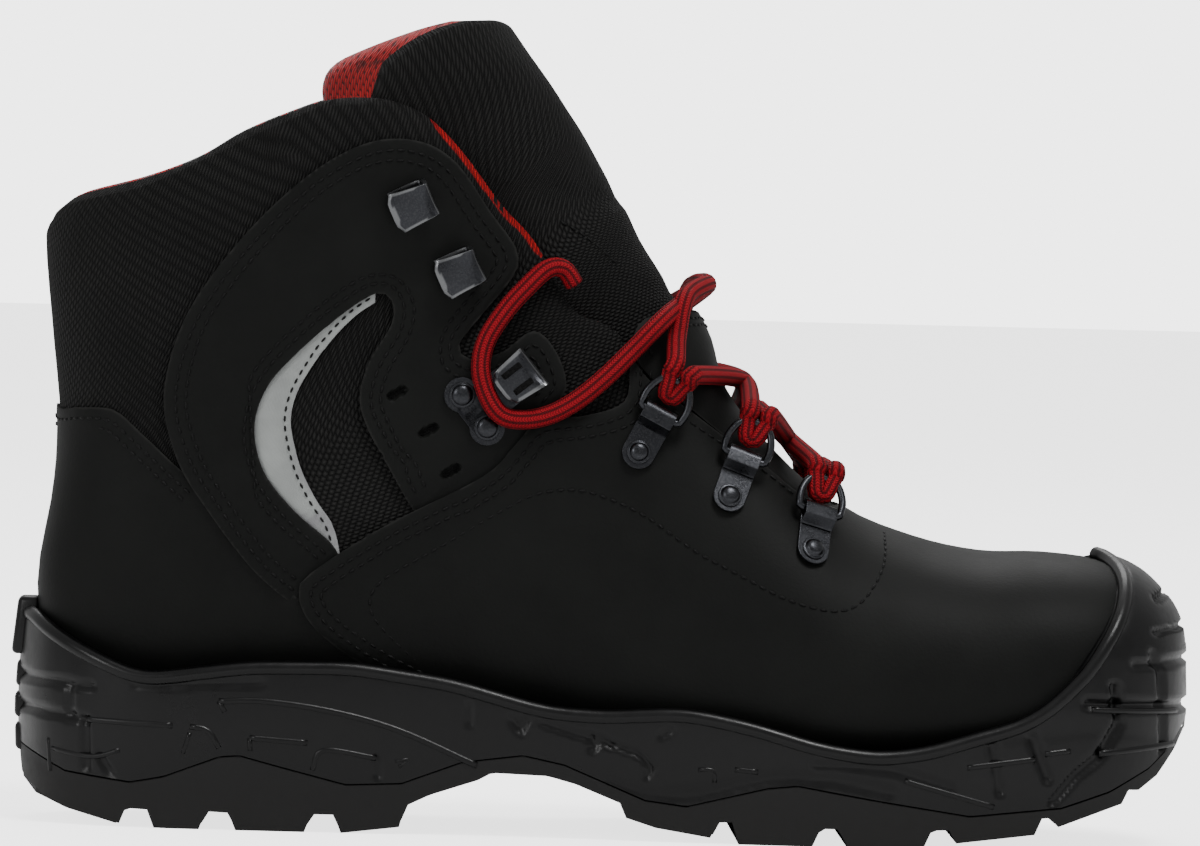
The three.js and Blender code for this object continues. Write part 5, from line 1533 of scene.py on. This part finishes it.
strapCuts = (-4.6, -3.9, -3, -1.6, 0, 1.6, 3, 3.9, 4.6)


# Cuts a strap across its width and along its head, so that it can be shaped.
def cutStrap(bm, spots):
    for axis, values in spots:
        for value in values:
            spot, normal = [0, 0, 0], [0, 0, 0]
            spot[axis], normal[axis] = value, 1
            bmesh.ops.bisect_plane(bm, geom=bm.verts[:] + bm.edges[:] + bm.faces[:], dist=0.001,
                                   plane_co=spot, plane_no=normal)


def hookHardware(side, kind, row):
    name = sideNames[side]
    spot = frameOn(row, side, shoe["overlay"] + 1.1)
    bend = arcPoints((3.2, 2.9), 2.9, -90, 90, 12)
    bendIn = arcPoints((3.2, 2.9), 1.85, 90, -90, 12)
    profile = [(-4, 0)] + bend + [(-5.0, 5.9), (-5.6, 5.5), (-5.3, 4.85)] + bendIn + [(-4, 1.05)]
    body = strap(profile, 10.2)
    cutStrap(body, [(0, strapCuts), (1, (-5, -4.4, -3.6, -2.4, -1, 0.5, 2, 3.4, 4.6, 5.4))])
    shapeHead(body, -5.6, 6.1, 1.06, 0.84, 1.9)
    metalPiece([body, rivet(2.6, 1.2, 0, -1, 1.0)], spot, f"hook_metal_{name}_{kind}",
               [f"lace_hook_{name}_{kind}"], 0.34,
               wornAt=lambda at: (np.abs(at[:, 0]) > 4.15) | (at[:, 1] < -4.3) | (at[:, 1] > 5.4))


def lockHardware(side):
    name = sideNames[side]
    spot = frameOn(lockingHook, side, shoe["overlay"] + 1.1)
    bend = arcPoints((15.6, 3.75), 3.75, -90, 90, 12)
    bendIn = arcPoints((15.6, 3.75), 2.75, 90, -90, 12)
    profile = [(-3.4, 0)] + bend + [(9.0, 7.5), (8.3, 7.1), (8.6, 6.4)] + bendIn + [(-3.4, 1)]
    arm = strap(profile, 10.6)
    cutStrap(arm, [(0, strapCuts), (1, (8.8, 9.4, 10.2, 11.4, 13, 14.6, 16, 17.2, 18.2, 18.9))])
    shapeHead(arm, 8.3, 19.4, 0.9, 1.12, 1.7)
    lobes = arcPoints((-5.3, 0), 4.6, 50, 310, 14) + arcPoints((5.3, 0), 4.6, 230, 490, 14)
    base = plateOf(lobes, 1.0)
    # Dark bars over the arm's slots: painted shade where the slots open.
    slotShades = []
    for x in (-2.5, 2.5):
        slot = strap([(10.6, 6.6), (11.4, 7.75), (16.2, 7.95), (16.9, 6.9)], 1.6)
        bmesh.ops.translate(slot, verts=slot.verts, vec=(x, 0, 0))
        slotShades.append(slot)

    def wornAt(at):
        return (at[:, 2] > 3) & ((np.abs(at[:, 0]) > 4.3) | (at[:, 1] < 9.3) | (at[:, 1] > 18.6))
    metalPiece([arm, base, rivet(3.4, 1.7, -5.3, 0, 0.95), rivet(3.4, 1.7, 5.3, 0, 0.95)], spot,
               f"locking_metal_{name}", [f"locking_hook_{name}"], 0.28, wornAt=wornAt)
    metalPiece(slotShades, spot, f"locking_slot_shade_{name}", [], 0.2, "shade")


for side in (innerSide, outerSide):
    for number, row in enumerate(ringPlates):
        ringHardware(side, number + 1, row)
    for kind, row in openHooks.items():
        hookHardware(side, kind, row)
    lockHardware(side)
print("hardware made")


# Lace: a bar at the toe end, two crossings, and two loose ends round their locking hooks.
laceWidth = 5.0
laceBeside = laceWidth / 2 + 0.25
laceWay = [(0.05, 0.602, -1, 4.4, 5), (0.054, 0.646, -1, 4.6, 4), (0.041, 0.625, 1, 4.6, 0.5),
           (0.015, 0.584, 1, 4.8, 0), (-0.007, 0.552, 1, 4.6, 0), (-0.029, 0.526, 1, 4.8, 0),
           (-0.051, 0.509, 1, 5.2, 0), (-0.073, 0.503, 1, 5.8, 0), (-0.091, 0.508, 1, 6.2, 0),
           (-0.103, 0.529, 1, 6.2, 0), (-0.11, 0.562, 1, 5.8, 0), (-0.106, 0.596, 1, 5.2, 0),
           (-0.091, 0.632, 1, 4.8, 0), (-0.075, 0.659, 1, 4.6, 0), (-0.057, 0.683, 1, 4, 0),
           (-0.043, 0.684, 1, 3, 0), (-0.033, 0.668, 1, 1.6, 0)]


def ringMouth(number, side, reach, toToe, out=None):
    row = ringPlates[number - 1]
    rise = metal["plateLength"] - 4 + metal["ringTall"] - metal["wire"] / 2 + reach
    out = metal["plate"] + metal["wire"] / 2 + 0.3 + 1.6 if out is None else out
    return frameOn(row, side, shoe["overlay"] + 0.6) @ Vector((-side * toToe * laceBeside, rise, out))


def overCrown(x, z, lift):
    place = np.arange(7, 14, 0.05)
    top = lastPoint(place, np.full(len(place), math.pi))
    best = place[np.argmin(np.hypot(top[:, 0] - x, top[:, 2] - z))]
    return onLast(np.array([best]), np.array([math.pi]), np.array([lift]))[0]


def lacePiece(bms, name, replaced):
    return finishPiece(joined(bms), name, [finish["braid"]], [replaced] if replaced else [])


def strand(fromRing, fromSide, toRing, toSide, lift, bar=False):
    rows = ringPlates
    startToe = 1 if bar or rows[fromRing - 1]["along"] < rows[toRing - 1]["along"] else -1
    endToe = 1 if bar or rows[toRing - 1]["along"] < rows[fromRing - 1]["along"] else -1
    start, end = ringMouth(fromRing, fromSide, 0.5, startToe), ringMouth(toRing, toSide, 0.5, endToe)
    middle = Vector(overCrown((start.x + end.x) / 2, (start.z + end.z) / 2, lift))
    middle.y = (start.y + end.y) / 2
    points = [start, ringMouth(fromRing, fromSide, 2.5, startToe), middle,
              ringMouth(toRing, toSide, 2.5, endToe), end]
    return tubeAlong([tuple(p) for p in points], laceWidth / 2, 14, step=1.2)


def laceLoop(side, number):
    mouth = [ringMouth(number, side, reach, toToe, out) for reach, toToe, out in
             ((0.7, 1, None), (-1.8, 0.75, 2.9), (-4.6, 0.45, 1.7), (-5.0, 0, 1.2), (-4.6, -0.45, 1.7),
              (-1.8, -0.75, 2.9), (0.7, -1, None))]
    return tubeAlong([tuple(p) for p in mouth], laceWidth / 2 * 0.94, 12, step=1.2)


barLift, crossLift = laceWidth / 2 + 3.5, laceWidth / 2 + 1.8
lacePiece([strand(3, -1, 3, 1, barLift, True)], "lace_toe_bar", "lace_bar")
lacePiece([strand(3, -1, 2, 1, crossLift), strand(2, -1, 3, 1, crossLift)], "lace_low_cross", "lace_cross_1")
lacePiece([strand(2, -1, 1, 1, crossLift), strand(1, -1, 2, 1, crossLift)], "lace_high_cross", "lace_cross_2")
lacePiece([laceLoop(side, number) for side in (-1, 1) for number in (1, 2, 3)], "lace_ring_loops", None)


def looseEnd(side):
    points = [ringMouth(1, -side, 0.5, -1), ringMouth(1, -side, 3, -1)]
    for n, (along, up, same, lift, over) in enumerate(laceWay):
        x, z = along * shoe["length"], up * shoe["height"]
        place, turn = findOn(x, z, same * side)
        points.append(onLast(place, turn, lift + (over if side < 0 else 0)))
        if n == 1:
            points.append(overCrown(x, z, lift))
    points = [tuple(p) for p in points]
    piece = lacePiece([tubeAlong(points, laceWidth / 2, 14, step=1.2)], f"lace_loose_{sideNames[side]}",
                      f"lace_end_{sideNames[side]}")


for side in (innerSide, outerSide):
    looseEnd(side)
print("lace made")


# Insole: a cloth-covered footbed that follows the inside of the wall.
def footbed():
    x = np.linspace(-0.47, 0.475, 48) * shoe["length"]
    share = x / shoe["length"]
    seat = blendOf(23.0, 32.0, smooth((0.13 - share) / 0.33)) + 2.6
    seat += 9 * np.maximum(0, (share - 0.2) / 0.3) ** 2
    borders = []
    for side in (innerSide, outerSide):
        place, turn = findOn(x, seat, side)
        borders.append(onLast(place, turn, -(wallAt(place, turn) + 0.5)))
    ring = np.vstack([borders[0], borders[1][::-1]])
    bm = flatSheet([(p[0], p[1], 0) for p in ring], 3.5, (1.2, 2.0))
    flat = meshPoints(bm)
    border = resampled(np.vstack([ring, ring[:1]])[:, :2], 1.0)
    edge = distanceTo(flat[:, :2], border)
    height = np.interp(flat[:, 0], x, seat) + 1.6 - 0.8 * smooth(edge / 14)
    setPoints(bm, np.column_stack([flat[:, :2], height]))
    bm.normal_update()
    bmesh.ops.reverse_faces(bm, faces=[f for f in bm.faces if f.normal.z < 0])
    piece = finishPiece(bm, "footbed_cloth", [finish["insole"]], ["insole"], flat[:, :2])
    addModifier(piece, "SOLIDIFY", thickness=3.2 * mm, offset=-1)
    bevelEdges(piece, 0.8, segments=2)


footbed()
print("footbed made")

thread = finishPiece(stitches, "stitch_rows", [finish["thread"]])
print("stitches", len(thread.data.polygons))

# The outsole's own solid stays in sight, under its dressed side.
outsoleMesh = bpy.data.objects["outsole"].data
outsoleMesh.materials.clear()
outsoleMesh.materials.append(finish["tread"])


# Floor, light and camera. The camera stands level with the sole and is rolled as the photograph is.
def studio():
    bm = bmesh.new()
    bmesh.ops.create_grid(bm, x_segments=2, y_segments=2, size=6)
    mesh = bpy.data.meshes.new("floor")
    bm.to_mesh(mesh)
    bm.free()
    floor = bpy.data.objects.new("floor", mesh)
    bpy.context.scene.collection.objects.link(floor)
    material, start, place, feed, _ = newMaterial("pale_floor", Roughness=0.75, Specular_IOR_Level=0.2,
                                                  Emission_Strength=2.4)
    direct = start.node("ShaderNodeLightPath")
    feed("Emission Color", mixColour(start, direct, (0, 0, 0), (1, 1, 1)))
    feed("Base Color", mixColour(start, noise(start, place, 3, 2), (0.86, 0.86, 0.86), (0.9, 0.9, 0.9)))
    mesh.materials.append(material)
    world = bpy.data.worlds.new("studio")
    bpy.context.scene.world = world
    world.use_nodes = True
    backdrop = world.node_tree.nodes["Background"]
    backdrop.inputs["Color"].default_value = (1, 1, 1, 1)
    seen = Wire(world.node_tree).node("ShaderNodeLightPath")
    world.node_tree.links.new((seen * 3.4 + 0.6).socket, backdrop.inputs["Strength"])
    lights = [{"name": "key", "at": (0.6, -1.0, 2.2), "size": 0.8, "power": 46},
              {"name": "fill", "at": (-1.5, -1.5, 0.9), "size": 0.7, "power": 12},
              {"name": "back", "at": (0.1, 1.5, 1.8), "size": 1.2, "power": 16}]
    for row in lights:
        lamp = bpy.data.lights.new(row["name"], "AREA")
        lamp.energy, lamp.size = row["power"], row["size"]
        held = bpy.data.objects.new(row["name"], lamp)
        held.location = row["at"]
        held.rotation_euler = (Vector((0, 0, 0.1)) - Vector(row["at"])).to_track_quat("-Z", "Y").to_euler()
        bpy.context.scene.collection.objects.link(held)


studio()


def placeCamera():
    look = {"aim": (-0.0014, -0.004, 0.106), "distance": 3.0, "azimuth": 1.5, "elevation": 1.8, "roll": 1.43,
            "scale": 3.84}
    azimuth, elevation = math.radians(look["azimuth"]), math.radians(look["elevation"])
    aim = Vector(look["aim"])
    away = Vector((-math.sin(azimuth) * math.cos(elevation), -math.cos(azimuth) * math.cos(elevation),
                   math.sin(elevation)))
    camera = bpy.data.cameras.new("camera")
    camera.sensor_width = 36
    camera.lens = look["scale"] * 36 * look["distance"] * 1000 / 1200
    camera.clip_end = 50
    held = bpy.data.objects.new("camera", camera)
    bpy.context.scene.collection.objects.link(held)
    turn = (-away).to_track_quat("-Z", "Y").to_matrix() @ Matrix.Rotation(math.radians(look["roll"]), 3, "Z")
    held.matrix_world = Matrix.Translation(aim + away * look["distance"]) @ turn.to_4x4()
    bpy.context.scene.camera = held


placeCamera()
